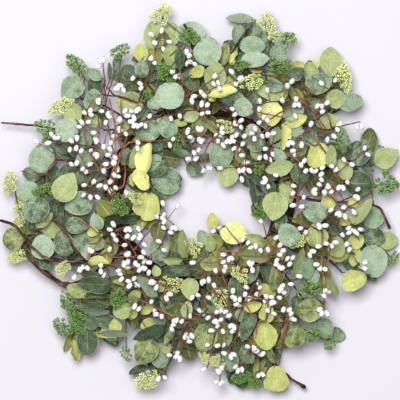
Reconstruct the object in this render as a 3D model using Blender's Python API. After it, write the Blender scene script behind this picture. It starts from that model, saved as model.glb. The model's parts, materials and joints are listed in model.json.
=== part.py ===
"""Eucalyptus wreath lying on its back: a grapevine ring with leafy stems, berry twigs and seed heads.

The wreath lies in the XY plane with its front facing +Z and its hanging top towards +Y. Every plan
below is in millimetres from the middle of the ring; the meshes are written in metres.
"""
import bisect
import math
import random

import bmesh
import bpy
import numpy as np
from mathutils import Vector
from mathutils.bvhtree import BVHTree

MM = 0.001
SEED = 4043

# Grapevine ring
RING_RADIUS = 130.0
RING_LIFT = 12.5  # height of the section's centre over the pressed underside
RING_SECTION = 17.0
RING_STEPS = 38
RING_LOBES = 5
RING_LOBE_DEPTH = 2.4
RING_TURNS = 4
RING_WAVES = ((2, 2.6, 0.6), (5, 1.8, 0.0))  # (waves round the ring, depth, phase) of its radius
SECTION_WAVE = (3, 0.05, 1.0)  # the same for the section, as a share of it
RING_CLEAR = 26.0  # stems keep this far from the section's centre
LOOSE_VINE_RADIUS = 2.3
LOOSE_VINE_STEPS = 7
LOOSE_VINES = 4
LOOSE_VINE_SINK = 5.0
LOOSE_VINE_SWEEP = (0.7, 1.0)
LOOSE_VINE_FROM = (0.1, 1.2)
LOOSE_VINE_TURN = (0.9, 1.9)
LOOSE_VINE_RISE = (1.5, 3.5)
RAY_START = 40.0  # a ray towards the ring starts this far from the section's centre

# Depth of the foliage: (distance from the middle, height of the front leaves)
FRONT_PROFILE = ((0, 30), (60, 36), (95, 60), (130, 82), (190, 84), (250, 56), (300, 30))
LAYER_DROP = (0.0, 15.0, 29.0)
LOWEST_LEAF = 7.0
HIGHEST_LEAF = 104.0
LOWEST_POINT = 3.0  # no foliage comes lower than this
STEM_DROP = 38.0
STEM_STEP = 60.0
STEM_LIFTS = (0, 6, -5, 12, 18, -9, 24, 3)
STEM_SWAY = 3.0
LOWEST_STEM = 7.0

# Stems and blades
SEAT_GAP = 0.3
SEAT_MARGIN = 0.24  # the part of the gap that a seat keeps clear on every side
SEAT_STEP = 0.1
SEAT_TRIES = 18
SEAT_SHIFTS = (0.0, 0.06, -0.06, 0.12, -0.12, 0.18, -0.18, 0.24, -0.24)  # radians round the ring
LEAF_LANES = (90, 70, 110, 50, 130)  # degrees across the ring's section, from its outside
TWIG_LANES = (90, 70, 110)
GREEN_HEAD_LANES = (60, 40, 120)
LIME_HEAD_LANES = (120, 50, 30)
DARK_TWIG_LANES = (62, 75, 90, 50, 105, 40)
HUB_RISE = 9.0
HUB_SPACING = 7.5
JOINT_SPACING = 6.0  # others can join a stem at points this far apart
JOINT_CHOICE = 9.0  # points closer than this count as one choice
ROOT_NUDGE = 0.13
STEM_ROOT_RADIUS = 2.1
STEM_TIP_RADIUS = 1.4
TWIG_RADIUS = 1.25
STALK_RADIUS = 1.2
PETIOLE_RADIUS = 0.75
TWIG_BEND = 3.0
ROOT_SHARE = 0.6  # a stalk's radius where it sinks into its stem
BLADE_THICKNESS = 1.2
BERRY_RADIUS = 3.9
BERRY_LENGTH = 11.0
CLEARANCE = 0.35
LONG_LEAF = 45.0
SMALLEST_LEAF = 29.0  # smaller ones are left out, unless they lie in front or at the rim
RIM = 225.0
LARGE_HEAD = 18.0
SMALLEST_HEAD = 10.5
SHORTEST_TWIG = 31.0
STRAIGHT_STALK = 0.35  # below this a stalk takes an elbow
SIDEWAYS_STALK = 0.94  # a stalk more square to the blade than this is turned down
STALK_SLOPE = 0.3  # a stalk from the tip's side climbs at least this steeply
SHORTEST_STALK = 5.0
STALK_CHOICES = 7
ROOT_LENGTH = 4.5  # so much of a stalk may lie in its own stem
ELBOW = 5.0
LEAF_DROOP = 0.05
LEAF_CUP = 0.06
LONG_STATIONS = ((0.2, 0.78), (0.5, 1.0), (0.8, 0.72))  # (place along the blade, share of its width)
SHORT_STATIONS = ((0.3, 0.95), (0.7, 0.9))
FLORET_REACH = (0.95, 1.1)
DIMPLE_REACH = (0.58, 0.72)
HEAD_FRONT = 0.85
HEAD_BACK = 0.55
HEAD_SINK = 0.25  # a head's stalk ends this share of its radius below its centre
BERRY_REACH = 26.0  # a berry further than this from every twig is left out
BERRY_STALK = 6.6
LOWEST_BERRY = 8.0
LOWEST_TWIG = 9.0
TWIG_SIDES = 4

# Clear places are looked for in this order, in millimetres from the plan's own place
LEAF_SPREADS = (0.0, 5.0, 10.0, 15.0)
LEAF_DROPS = (0, -5, 5, -10, 10, -16, 15, -22, 20, -28, 26, -34, -40, -46)
LEAF_LEANS = (0.0, 0.16, -0.16, 0.0, 0.1, -0.1)
TWIG_LIFTS = (5, 1, 9, -4, 13, -9, -14, -20)
BERRY_RISES = (1, -3, 4, -6, 7)
HEAD_DROPS = (-2, -8, 4, -14, 9, -20, -26, -32, -38)
ARM_TRIES = 48
ARM_DRIFT = 4.0

# A leafy stem has an outer arm for leaves this far past the ring's middle line, and an inner one
OUTER_ARM = 25.0
INNER_ARM = 18.0
OUTER_ARM_SHORT = 18.0  # an arm stops this short of its last leaf
INNER_ARM_SHORT = 14.0

# Each leaf: (shade, x, y, length, apparent width, tip direction in degrees or None, layer)
# Shades: b blue-green, d dark blue-green, p pale blue-green, o olive, y light olive, l lime
LEAVES = (
    ("b", -193, 168, 41, 36, 222, 0), ("d", -160, 150, 36, 30, None, 1), ("b", -160, 190, 28, 18, 150, 1),
    ("o", -70, 245, 38, 22, 95, 1), ("o", -45, 250, 40, 20, 80, 0), ("o", -56, 231, 28, 14, 100, 2),
    ("y", -42, 218, 38, 24, -80, 0), ("d", -30, 210, 32, 18, -90, 1), ("b", -15, 257, 46, 36, 95, 1),
    ("l", -89, 221, 32, 22, 100, 1), ("b", -126, 205, 30, 12, 80, 1), ("d", -106, 192, 30, 24, None, 1),
    ("b", -87, 196, 28, 22, None, 0), ("b", -137, 195, 28, 7, 90, 2), ("p", -46, 155, 46, 42, 200, 0),
    ("d", -13, 178, 35, 25, -60, 1), ("l", -5, 190, 26, 18, 30, 0), ("o", -95, 170, 22, 12, 150, 1),
    ("y", -105, 143, 42, 36, 160, 0), ("p", 12, 223, 46, 44, 80, 0), ("o", 37, 220, 36, 18, 85, 1),
    ("l", 52, 217, 32, 15, 80, 1), ("b", 60, 275, 42, 17, 175, 1), ("b", 57, 250, 33, 20, 80, 0),
    ("d", 78, 262, 18, 12, 45, 1), ("d", 83, 252, 28, 18, 20, 0), ("p", 79, 232, 40, 27, 0, 0),
    ("d", 103, 235, 22, 14, -20, 1), ("p", 82, 210, 44, 26, 10, 0), ("b", 119, 222, 34, 28, 50, 0),
    ("b", 110, 208, 20, 14, None, 1), ("l", 83, 199, 26, 9, 170, 1), ("d", 105, 195, 24, 18, None, 2),
    ("l", 148, 198, 30, 26, 40, 2), ("d", 145, 190, 28, 22, 30, 0), ("o", 22, 183, 48, 34, 80, 1),
    ("o", 45, 178, 26, 18, 60, 2), ("l", 35, 158, 42, 20, 15, 1), ("l", 17, 153, 16, 12, None, 1),
    ("d", 50, 150, 42, 22, -10, 1), ("b", 112, 170, 30, 20, -15, 0), ("y", 108, 162, 48, 30, 170, 1),
    ("y", 198, 208, 50, 33, 90, 0), ("b", 178, 180, 44, 30, 60, 0), ("o", 168, 192, 36, 24, 100, 1),
    ("l", 175, 205, 18, 12, 90, 1), ("y", 203, 152, 36, 30, 0, 0), ("b", 228, 148, 40, 26, 20, 0),
    ("y", -190, 130, 36, 30, 120, 0), ("p", -200, 105, 38, 35, 150, 0), ("o", -218, 108, 28, 24, 170, 1),
    ("d", -172, 90, 30, 22, None, 1), ("d", -208, 78, 26, 12, 140, 1), ("p", -238, 63, 46, 40, 80, 0),
    ("d", -255, 40, 30, 24, 170, 1), ("d", -228, 42, 26, 24, None, 1), ("d", -208, 37, 30, 18, None, 1),
    ("p", -258, 12, 38, 34, 190, 0), ("y", -268, 0, 30, 24, 220, 1), ("y", -200, 20, 48, 40, 60, 0),
    ("d", -175, 35, 28, 24, None, 1), ("b", -172, 62, 30, 24, None, 1), ("o", -158, 118, 30, 20, None, 1),
    ("o", -108, 108, 24, 20, None, 1), ("b", -88, 128, 22, 18, None, 1), ("b", -78, 105, 40, 32, 190, 1),
    ("b", -48, 108, 36, 30, -60, 1), ("b", -68, 145, 24, 20, None, 1), ("l", -30, 115, 22, 12, 0, 1),
    ("l", -58, 118, 16, 12, None, 1), ("y", -13, 125, 26, 18, 20, 1), ("o", 0, 110, 32, 26, -90, 1),
    ("p", -30, 70, 30, 12, -15, 1), ("o", -50, 65, 48, 26, -10, 1), ("y", -92, 93, 20, 10, None, 1),
    ("l", -80, 62, 50, 26, 80, 0), ("l", -88, 30, 36, 24, 120, 0), ("l", -102, 30, 20, 8, 100, 1),
    ("l", -79, -10, 44, 42, -100, 0), ("o", -62, 12, 36, 20, None, 1), ("y", -98, 65, 38, 18, 75, 1),
    ("b", -50, 30, 50, 42, -10, 0), ("d", -8, 47, 28, 24, -30, 1), ("b", 65, 138, 32, 28, None, 1),
    ("l", 107, 130, 40, 34, None, 1), ("b", 140, 130, 36, 24, 30, 1), ("d", 145, 103, 30, 20, None, 1),
    ("l", 142, 118, 30, 16, 20, 1), ("l", 127, 95, 36, 16, 80, 1), ("y", 18, 110, 26, 12, -50, 1),
    ("b", 32, 68, 46, 38, -90, 0), ("d", 5, 63, 28, 14, 200, 1), ("b", 82, 86, 34, 26, None, 1),
    ("b", 80, 103, 26, 20, None, 1), ("d", 52, 102, 24, 18, None, 1), ("o", 82, 70, 24, 14, -60, 1),
    ("y", 62, 65, 30, 16, -70, 1), ("p", 118, 67, 30, 18, None, 1), ("y", 118, 48, 44, 24, 10, 0),
    ("y", 42, 36, 34, 32, -100, 0), ("d", 64, 28, 26, 12, -60, 1), ("d", 78, 10, 50, 10, -85, 1),
    ("y", 128, 10, 34, 24, -60, 1), ("y", 112, -10, 44, 40, -100, 0), ("d", 103, 18, 24, 20, None, 1),
    ("b", 148, 40, 34, 26, None, 1), ("y", 192, 117, 38, 24, 20, 1), ("l", 175, 66, 40, 36, 60, 0),
    ("y", 195, 65, 34, 18, None, 1), ("y", 215, 45, 36, 28, None, 1), ("o", 212, 60, 26, 20, 40, 2),
    ("d", 243, 68, 40, 26, 50, 0), ("b", 268, 70, 34, 20, 60, 1), ("y", 283, 65, 44, 34, 30, 0),
    ("d", 248, 50, 36, 12, -15, 1), ("d", 240, 25, 44, 38, 0, 1), ("d", 165, 92, 30, 24, None, 1),
    ("l", 192, 0, 28, 22, None, 1), ("l", 234, -3, 24, 16, 0, 1), ("b", -245, -15, 42, 40, 250, 0),
    ("o", -235, -31, 36, 20, 40, 0), ("y", -223, -44, 34, 26, 20, 1), ("d", -260, -38, 24, 18, 150, 2),
    ("y", -281, -59, 38, 36, 190, 0), ("p", -236, -70, 38, 36, 100, 0), ("d", -243, -88, 50, 30, -35, 1),
    ("b", -204, -65, 40, 32, None, 0), ("b", -183, -38, 36, 26, -10, 0), ("b", -178, -62, 34, 26, None, 1),
    ("b", -182, -6, 44, 38, -160, 1), ("b", -155, -33, 28, 22, None, 1), ("d", -210, -34, 22, 16, None, 2),
    ("l", -160, -48, 18, 14, None, 1), ("d", -193, -88, 26, 16, None, 1), ("b", -170, -78, 26, 18, None, 1),
    ("b", -158, -65, 34, 24, 180, 2), ("l", -151, -94, 32, 16, 0, 0), ("o", -160, -113, 42, 18, 170, 1),
    ("d", -158, -126, 52, 28, 180, 0), ("o", -186, -138, 34, 24, 150, 1), ("d", -152, -154, 40, 22, 0, 1),
    ("b", -155, -167, 42, 12, 0, 1), ("d", -141, -182, 36, 24, -20, 1), ("b", -128, -200, 42, 14, 0, 0),
    ("l", -138, -202, 38, 16, 170, 1), ("l", -127, -190, 24, 20, 100, 1), ("d", -170, -215, 42, 34, -90, 0),
    ("l", -202, -218, 32, 11, -105, 1), ("l", -190, -228, 34, 15, -75, 0), ("o", -178, -203, 26, 10, 200, 1),
    ("d", -163, -184, 24, 20, None, 1), ("d", -116, -27, 56, 17, 0, 1), ("b", -100, -52, 24, 20, None, 1),
    ("b", -92, -40, 18, 14, None, 2), ("o", -63, -47, 36, 28, -100, 1), ("b", -62, -74, 36, 30, -80, 1),
    ("o", -38, -57, 26, 14, -80, 1), ("b", -42, -27, 22, 12, -100, 1), ("y", -25, -68, 48, 18, 100, 0),
    ("o", -42, -88, 32, 15, 180, 1), ("d", -30, -105, 50, 20, 0, 1), ("b", -78, -130, 46, 18, -50, 0),
    ("y", -66, -106, 18, 15, 100, 1), ("l", -122, -124, 20, 13, 180, 1), ("y", -15, -133, 34, 28, -90, 0),
    ("o", -60, -132, 16, 12, None, 1), ("o", -98, -145, 26, 18, None, 1), ("o", -116, -164, 32, 26, 200, 0),
    ("l", -101, -168, 24, 16, 70, 1), ("l", -80, -163, 24, 14, 30, 1), ("l", -79, -186, 24, 16, -150, 1),
    ("d", -78, -198, 52, 22, 207, 0), ("y", -82, -228, 46, 38, 240, 0), ("b", -62, -235, 42, 30, -70, 1),
    ("d", -95, -258, 30, 13, 200, 1), ("o", -52, -222, 22, 18, None, 1), ("o", -47, -243, 34, 14, -110, 1),
    ("o", -45, -207, 28, 12, 230, 1), ("y", -20, -164, 26, 18, 80, 1), ("b", -52, -156, 30, 14, None, 1),
    ("d", -58, -178, 24, 18, None, 1), ("o", -30, -187, 20, 10, 0, 1), ("y", 8, -205, 46, 36, -100, 0),
    ("o", 36, -204, 42, 28, -90, 1), ("l", 19, -32, 27, 18, 95, 0), ("l", 50, -50, 42, 36, 170, 0),
    ("y", 15, -64, 30, 17, 100, 1), ("b", 4, -57, 24, 20, None, 1), ("o", 84, -62, 32, 22, 150, 1),
    ("o", 82, -82, 52, 22, 180, 0), ("o", 15, -97, 30, 20, 180, 1), ("d", 57, -131, 38, 30, -90, 0),
    ("b", 80, -112, 32, 13, 60, 1), ("o", 113, -115, 44, 20, -100, 0), ("l", 96, -134, 20, 16, None, 1),
    ("l", 107, -138, 20, 14, -90, 1), ("b", 131, -51, 36, 32, 120, 0), ("d", 122, -33, 30, 20, None, 2),
    ("o", 147, -94, 50, 19, -105, 0), ("b", 160, -103, 38, 24, -100, 1), ("d", 10, -78, 30, 12, 180, 2),
    ("d", 70, -188, 50, 24, -105, 0), ("b", 63, -172, 26, 20, None, 1), ("l", 78, -157, 28, 15, 10, 0),
    ("l", 100, -167, 34, 24, -90, 1), ("l", 98, -203, 46, 36, -80, 0), ("o", 122, -175, 50, 22, -90, 1),
    ("y", 141, -203, 42, 38, -110, 0), ("o", 163, -165, 46, 36, 0, 0), ("d", 123, -222, 22, 12, None, 2),
    ("b", 46, -245, 32, 28, -90, 1), ("b", 71, -233, 36, 22, -80, 1), ("o", 68, -222, 20, 10, -100, 1),
    ("d", 99, -243, 30, 22, -60, 1), ("o", 106, -231, 36, 10, -70, 1), ("d", 64, -273, 30, 30, -90, 1),
    ("d", 80, -255, 24, 16, -90, 2), ("l", 116, -270, 42, 40, -80, 0), ("d", 171, -18, 38, 32, 170, 0),
    ("y", 174, -52, 38, 36, 100, 0), ("o", 205, -72, 34, 28, -60, 1), ("d", 203, -43, 42, 20, -80, 1),
    ("l", 218, -30, 30, 20, 0, 1), ("y", 244, -17, 50, 18, 55, 0), ("b", 262, -26, 36, 34, 30, 1),
    ("d", 265, -56, 36, 34, -20, 1), ("y", 284, -61, 36, 28, -10, 1), ("p", 262, -93, 52, 44, -75, 0),
    ("l", 236, -62, 26, 24, 40, 1), ("l", 233, -86, 30, 20, -100, 1), ("l", 216, -86, 18, 14, 200, 2),
    ("l", 231, -121, 42, 33, 200, 0), ("o", 197, -128, 42, 18, -62, 1), ("b", 170, -118, 30, 18, -100, 1),
    ("b", 187, -195, 36, 34, -50, 1), ("d", 209, -206, 30, 24, -20, 2),
)

# Seed heads: (x, y, radius)
GREEN_HEADS = (
    (-185, 202, 16), (-15, 243, 15), (-118, 223, 13), (-50, 190, 16), (-82, 155, 10), (128, 240, 15),
    (122, 200, 15), (62, 200, 10), (-230, 108, 16), (-232, 12, 15), (-38, 90, 16), (-119, -8, 15),
    (88, 48, 10), (212, 90, 16), (278, 25, 19), (-268, -52, 13), (-198, -150, 14), (-187, -168, 15),
    (-184, -190, 13), (-207, -192, 14), (-122, -146, 14), (-40, -169, 12), (-111, -230, 11),
    (88, -18, 12), (103, -17, 8), (291, -88, 10), (163, -133, 17), (163, -201, 16), (196, -214, 12),
    (62, -266, 13), (82, -272, 13),
)
LIME_HEADS = (
    (-58, 278, 16), (100, 267, 15), (113, 245, 10), (75, 175, 16), (216, 185, 17), (-208, 140, 16),
    (-285, 28, 15), (-271, -12, 10), (-272, -32, 11), (-275, -85, 13), (-205, -103, 12), (38, 110, 12),
    (-9, -69, 14), (-42, -125, 15), (145, -60, 14), (30, -147, 15), (60, -110, 13), (10, -236, 11),
    (24, -241, 11), (-77, -270, 18),
)

# Berry twigs, as runs of (x, y)
BERRY_TWIGS = (
    ((-145, 202), (-145, 185), (-140, 160)), ((-61, 240), (-66, 220), (-73, 200), (-87, 160), (-92, 145)),
    ((40, 198), (0, 165)), ((50, 177), (20, 168), (5, 160)), ((-20, 210), (-33, 190)),
    ((-158, 150), (-170, 132), (-174, 105), (-173, 85), (-160, 60), (-148, 40)),
    ((-215, 88), (-185, 83), (-150, 78)), ((-222, 72), (-200, 60), (-180, 45), (-168, 35), (-165, 15)),
    ((-151, 135), (-151, 75)), ((45, 137), (10, 138), (-15, 133), (-45, 128), (-70, 122), (-95, 115)),
    ((-22, 95), (-60, 88), (-100, 88), (-115, 78), (-120, 60)), ((-135, 150), (-125, 105), (-118, 78)),
    ((-117, 150), (-115, 120), (-118, 95)), ((8, 120), (30, 100), (55, 85), (65, 75)),
    ((65, 90), (100, 103)), ((57, 80), (57, 50)), ((68, 78), (68, 50)), ((75, 53), (100, 58)),
    ((97, 115), (103, 90), (102, 25)), ((109, 95), (108, 70)), ((212, 111), (232, 118), (241, 118)),
    ((245, 72), (220, 55), (200, 40), (185, 25), (175, 10)), ((150, 150), (170, 133), (190, 103)),
    ((182, 148), (193, 125), (197, 103)), ((160, 108), (195, 100)), ((-270, 44), (-245, 38), (-235, 32)),
    ((-125, -46), (-115, -55), (-105, -65), (-95, -82)), ((-120, -43), (-105, -36), (-95, -35)),
    ((-63, -30), (-75, -45), (-88, -60), (-97, -73)), ((-60, -22), (-50, -30), (-38, -38)),
    ((-48, -43), (-52, -58), (-60, -72), (-80, -88)), ((-135, -95), (-110, -98), (-90, -100)),
    ((-115, -103), (-85, -109), (-65, -113), (-50, -120)),
    ((-120, -105), (-108, -115), (-90, -130), (-75, -145), (-65, -157), (-55, -172), (-45, -187)),
    ((27, -75), (26, -90), (30, -105), (36, -120), (40, -130)), ((0, -93), (28, -93)),
    ((43, -83), (60, -81), (70, -79), (90, -83), (108, -80)), ((37, -38), (50, -55), (62, -70), (70, -79)),
    ((0, -109), (30, -107), (50, -103), (75, -98), (103, -93)), ((12, -137), (40, -140), (70, -145)),
    ((25, -110), (27, -125), (32, -137), (45, -157)), ((121, -107), (120, -125), (112, -145)),
    ((145, 0), (148, -20), (152, -45), (160, -75)), ((181, -30), (182, -60), (182, -95), (182, -130)),
    ((190, -25), (196, -58), (193, -75), (191, -98), (187, -125), (186, -160)),
    ((195, -25), (210, -42), (222, -62), (230, -80), (237, -97)), ((203, 0), (215, -22), (230, -42)),
    ((0, -172), (-10, -185), (-28, -197), (-33, -222), (-42, -240), (-60, -262)),
    ((-25, -205), (-29, -230)), ((5, -153), (15, -167), (25, -178), (33, -190)),
    ((24, -190), (20, -210), (16, -228), (11, -251)), ((33, -200), (32, -220), (29, -240), (30, -272)),
    ((67, -170), (63, -185), (55, -200), (43, -228)), ((82, -212), (77, -222), (70, -235), (62, -244)),
    ((90, -235), (92, -250), (90, -270)), ((101, -150), (98, -180)), ((-57, -165), (-40, -170), (-25, -176)),
    ((124, -215), (121, -235), (119, -248)), ((122, -150), (126, -170), (133, -182)),
)

# Berries, as (x, y)
BERRIES = (
    (-153, 200), (-150, 208), (-73, 248), (-68, 235), (-20, 221), (-16, 215), (-17, 208), (-8, 203),
    (-72, 212), (-70, 207), (-46, 237), (-100, 181), (-88, 172), (-123, 167), (-114, 164), (-41, 190),
    (-33, 185), (-9, 154), (2, 160), (6, 155), (-12, 147), (22, 184), (27, 174), (20, 173), (30, 166),
    (47, 191), (60, 181), (52, 173), (100, 163), (137, 177), (131, 169), (89, 147), (122, 148), (143, 150),
    (182, 175), (197, 174), (203, 180), (-153, 145), (-148, 133), (-172, 130), (-162, 127), (-166, 116),
    (-158, 100), (-155, 90), (-180, 109), (-183, 92), (-194, 75), (-183, 78), (-178, 71), (-163, 73),
    (-155, 68), (-245, 88), (-222, 98), (-217, 93), (-183, 55), (-162, 53), (-176, 45), (-171, 40),
    (-158, 27), (-172, 22), (-163, 4), (-152, 4), (-136, 125), (-140, 115), (-120, 118), (-108, 125),
    (-101, 132), (-91, 135), (-98, 122), (-97, 112), (-81, 110), (-76, 123), (-43, 121), (-30, 125),
    (3, 128), (-18, 104), (-15, 94), (-12, 90), (2, 104), (-1, 90), (-45, 82), (-40, 91), (-93, 77),
    (-92, 85), (-110, 98), (-121, 103), (-128, 95), (-132, 85), (-143, 80), (-137, 67), (-124, 63),
    (-127, 55), (-140, 53), (-143, 43), (-123, 45), (-127, 37), (-122, 35), (-133, 27), (-140, 19),
    (-135, 15), (-127, 20), (-110, 11), (-9, 71), (-3, 73), (-16, 62), (-5, 63), (6, 45), (11, 141),
    (12, 130), (48, 135), (52, 127), (88, 137), (88, 115), (95, 125), (100, 118), (103, 133), (52, 115),
    (61, 118), (61, 108), (82, 106), (54, 97), (66, 98), (80, 93), (92, 96), (23, 96), (32, 97), (27, 88),
    (35, 82), (41, 89), (48, 94), (33, 107), (63, 83), (52, 77), (58, 75), (62, 67), (97, 76), (90, 65),
    (98, 63), (108, 68), (106, 60), (109, 99), (100, 97), (13, 48), (5, 44), (31, 48), (59, 44), (66, 46),
    (74, 44), (70, 53), (63, 31), (95, 26), (102, 22), (113, 37), (120, 38), (138, 73), (142, 68),
    (151, 82), (131, 83), (150, 52), (155, 57), (157, 43), (140, 21), (140, 11), (154, 4), (147, 142),
    (142, 125), (2, 88), (235, 110), (243, 111), (247, 77), (252, 68), (215, 60), (226, 53), (200, 45),
    (195, 50), (213, 18), (221, 23), (235, 15), (236, 5), (193, 18), (195, 12), (185, 12), (180, 30),
    (180, 38), (178, 22), (170, 15), (182, 48), (172, 43), (165, 112), (190, 90), (198, 97), (205, 105),
    (208, 112), (182, 140), (188, 145), (175, 140), (183, 132), (-129, -36), (-134, -44), (-129, -52),
    (-125, -59), (-105, -42), (-92, -43), (-89, -53), (-110, -55), (-99, -56), (-112, -67), (-134, -73),
    (-107, -81), (-65, -25), (-54, -22), (-54, -32), (-55, -42), (-42, -42), (-45, -49), (-61, -62),
    (-54, -75), (-83, -67), (-84, -78), (-87, -85), (-83, -93), (-76, -93), (-95, -97), (-113, -97),
    (-107, -94), (-110, -101), (-90, -104), (-82, -102), (-121, -105), (-76, -108), (-117, -118),
    (-98, -117), (-105, -128), (-90, -127), (-71, -120), (-65, -130), (-45, -140), (-12, -145), (-3, -141),
    (-11, -94), (3, -123), (-34, -9), (-147, -97), (-147, -106), (-143, -112), (-163, -76), (-165, -100),
    (-180, -107), (-186, -113), (-174, -103), (138, -8), (149, -9), (149, -42), (155, -46), (114, -56),
    (93, -34), (29, -42), (20, -47), (64, -60), (72, -64), (76, -72), (83, -69), (90, -75), (101, -74),
    (119, -67), (123, -75), (133, -75), (118, -81), (114, -90), (113, -95), (130, -87), (138, -86),
    (133, -95), (122, -101), (35, -82), (43, -88), (35, -93), (38, -100), (36, -105), (23, -105),
    (73, -94), (78, -104), (6, -121), (13, -119), (21, -127), (26, -134), (13, -145), (49, -135),
    (69, -130), (68, -141), (74, -146), (52, -147), (60, -146), (54, -155), (60, -157), (87, -124),
    (89, -130), (85, -140), (98, -143), (106, -144), (114, -145), (98, -151), (104, -153), (135, -125),
    (118, -132), (124, -137), (195, -15), (205, -20), (213, -13), (230, -18), (208, -22), (178, -37),
    (187, -38), (222, -42), (226, -46), (240, -44), (235, -50), (222, -49), (212, -52), (202, -63),
    (188, -65), (177, -69), (219, -66), (223, -74), (163, -82), (173, -96), (179, -103), (186, -103),
    (240, -99), (245, -102), (184, -133), (190, -138), (180, -140), (185, -143), (-97, -158), (-91, -162),
    (-72, -153), (-64, -170), (-57, -173), (-39, -180), (-34, -178), (-27, -180), (-15, -173), (-43, -190),
    (-1, -164), (4, -169), (-20, -205), (-12, -202), (-16, -211), (-35, -229), (-43, -233), (-30, -238),
    (-53, -267), (12, -175), (25, -166), (30, -165), (38, -166), (43, -172), (22, -180), (31, -178),
    (27, -186), (17, -194), (34, -195), (46, -187), (49, -195), (60, -200), (11, -216), (26, -217),
    (35, -217), (36, -229), (46, -235), (73, -221), (81, -221), (85, -226), (87, -231), (94, -231),
    (32, -252), (27, -256), (57, -256), (63, -255), (89, -264), (94, -262), (24, -274), (30, -275),
    (100, -162), (110, -169), (124, -163), (133, -164), (136, -177), (140, -178), (5, -254), (179, -164),
    (182, -170),
)
BERRY_SHARE = 5  # every fifth berry is solid here

# Bare dark twigs: each is a group of runs of (x, y, height, radius), the first run starting on the ring
DARK_TWIGS = (
    (((-138, -62, 36, 2.4), (-168, -92, 52, 2.2), (-200, -92, 52, 2.0), (-228, -87, 48, 1.9),
      (-248, -73, 44, 1.9), (-270, -50, 42, 2.0), (-281, -37, 40, 2.6), (-301, -31, 38, 2.2)),
     ((-168, -92, 52, 1.8), (-192, -70, 68, 1.6), (-199, -45, 74, 1.5), (-218, -30, 74, 1.2))),
    (((-128, -88, 34, 2.6), (-175, -122, 30, 3.2), (-204, -131, 26, 3.4), (-225, -117, 26, 3.0),
      (-250, -93, 26, 2.2), (-265, -71, 26, 1.9), (-256, -66, 27, 1.2)),),
    (((-140, 60, 34, 2.2), (-190, 100, 34, 1.8), (-237, 111, 32, 1.6), (-262, 114, 32, 1.7),
      (-300, 117, 30, 1.5)),),
    (((146, 5, 34, 2.2), (200, -4, 30, 2.0), (240, -2, 34, 1.8), (263, -8, 36, 1.7), (273, -12, 36, 1.7),
      (280, -27, 34, 1.7), (287, -42, 32, 2.6)),),
    (((98, -104, 36, 2.4), (130, -155, 42, 2.4), (129, -180, 44, 2.3), (115, -215, 40, 2.2),
      (107, -240, 34, 2.2), (110, -253, 32, 2.8)),
     ((107, -240, 34, 2.0), (135, -270, 20, 1.8), (147, -277, 20, 1.8), (158, -284, 20, 3.4))),
)

# Mesh clean-up, in metres and radians
MERGE_DISTANCE = 0.000002
FLAT_ANGLE = 0.002
ROUGHNESS = 0.6

FAMILY = {"b": "blue", "d": "blue", "p": "blue", "o": "olive", "y": "olive", "l": "lime"}
SPRAY_SECTORS = {"blue": 15, "olive": 10, "lime": 8}
TWIG_SECTORS = 8
GREEN_HEAD_SECTORS = 6
GREEN_HEAD_PHASE = 0.3
LIME_HEAD_SECTORS = 4
LIME_HEAD_PHASE = 0.7

COLOURS = {
    "vine": (0.045, 0.028, 0.022, 1.0),
    "dark_twig": (0.085, 0.042, 0.035, 1.0),
    "blue": (0.21, 0.33, 0.24, 1.0),
    "olive": (0.34, 0.42, 0.17, 1.0),
    "lime": (0.62, 0.67, 0.17, 1.0),
    "berry": (0.86, 0.85, 0.80, 1.0),
    "green_head": (0.10, 0.19, 0.05, 1.0),
    "lime_head": (0.55, 0.60, 0.16, 1.0),
}


class Space:
    """The solids placed so far, with their boxes, for finding clear places."""

    def __init__(self):
        self.solids = []
        self.lows = np.full((4000, 3), np.inf)
        self.highs = np.full((4000, 3), -np.inf)

    def add(self, node, shell, index=None):
        """Keep a placed shell under its node's name, in place of an earlier one if its index is given."""
        points, faces = shell
        solid = (node, shell, BVHTree.FromPolygons(points, faces))
        if index is None:
            index = len(self.solids)
            self.solids.append(solid)
        self.solids[index] = solid
        corners = np.array(points)
        self.lows[index] = corners.min(axis=0)
        self.highs[index] = corners.max(axis=0)

    def meets(self, shell, node, own):
        """Say whether a shell cuts a solid of its own node (own) or of any other node."""
        points, faces = shell
        corners = np.array(points)
        reach = (self.lows <= corners.max(axis=0)).all(axis=1)
        reach &= (self.highs >= corners.min(axis=0)).all(axis=1)
        tree = None
        for index in np.nonzero(reach)[0]:
            other, _, other_tree = self.solids[index]
            if (other == node) != own:
                continue
            if tree is None:
                tree = BVHTree.FromPolygons(points, faces)
            if tree.overlap(other_tree):
                return True
        return False

    def shells(self, node):
        """Return the shells kept under a node's name, in the order they were placed."""
        return [shell for name, shell, _ in self.solids if name == node]


def front_height(x, y):
    """Return the height of the front leaves at a place in the wreath."""
    distance = min(math.hypot(x, y), FRONT_PROFILE[-1][0])
    stop = max(1, bisect.bisect_left(FRONT_PROFILE, (distance, 0)))
    near, far = FRONT_PROFILE[stop - 1], FRONT_PROFILE[stop]
    share = (distance - near[0]) / (far[0] - near[0])
    return near[1] + (far[1] - near[1]) * share


def stem_height(x, y):
    """Return the height of the leafy stems at a place in the wreath."""
    return max(LOWEST_STEM, front_height(x, y) - STEM_DROP)


def polar(radius, angle, height):
    """Return the point at a radius and angle (radians) round the wreath."""
    return Vector((radius * math.cos(angle), radius * math.sin(angle), height))


def nudge(rng):
    """Return a shift of a tenth of a millimetre or so, which keeps roots at one joint apart."""
    return Vector([rng.uniform(-ROOT_NUDGE, ROOT_NUDGE) for _ in range(3)])


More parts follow.
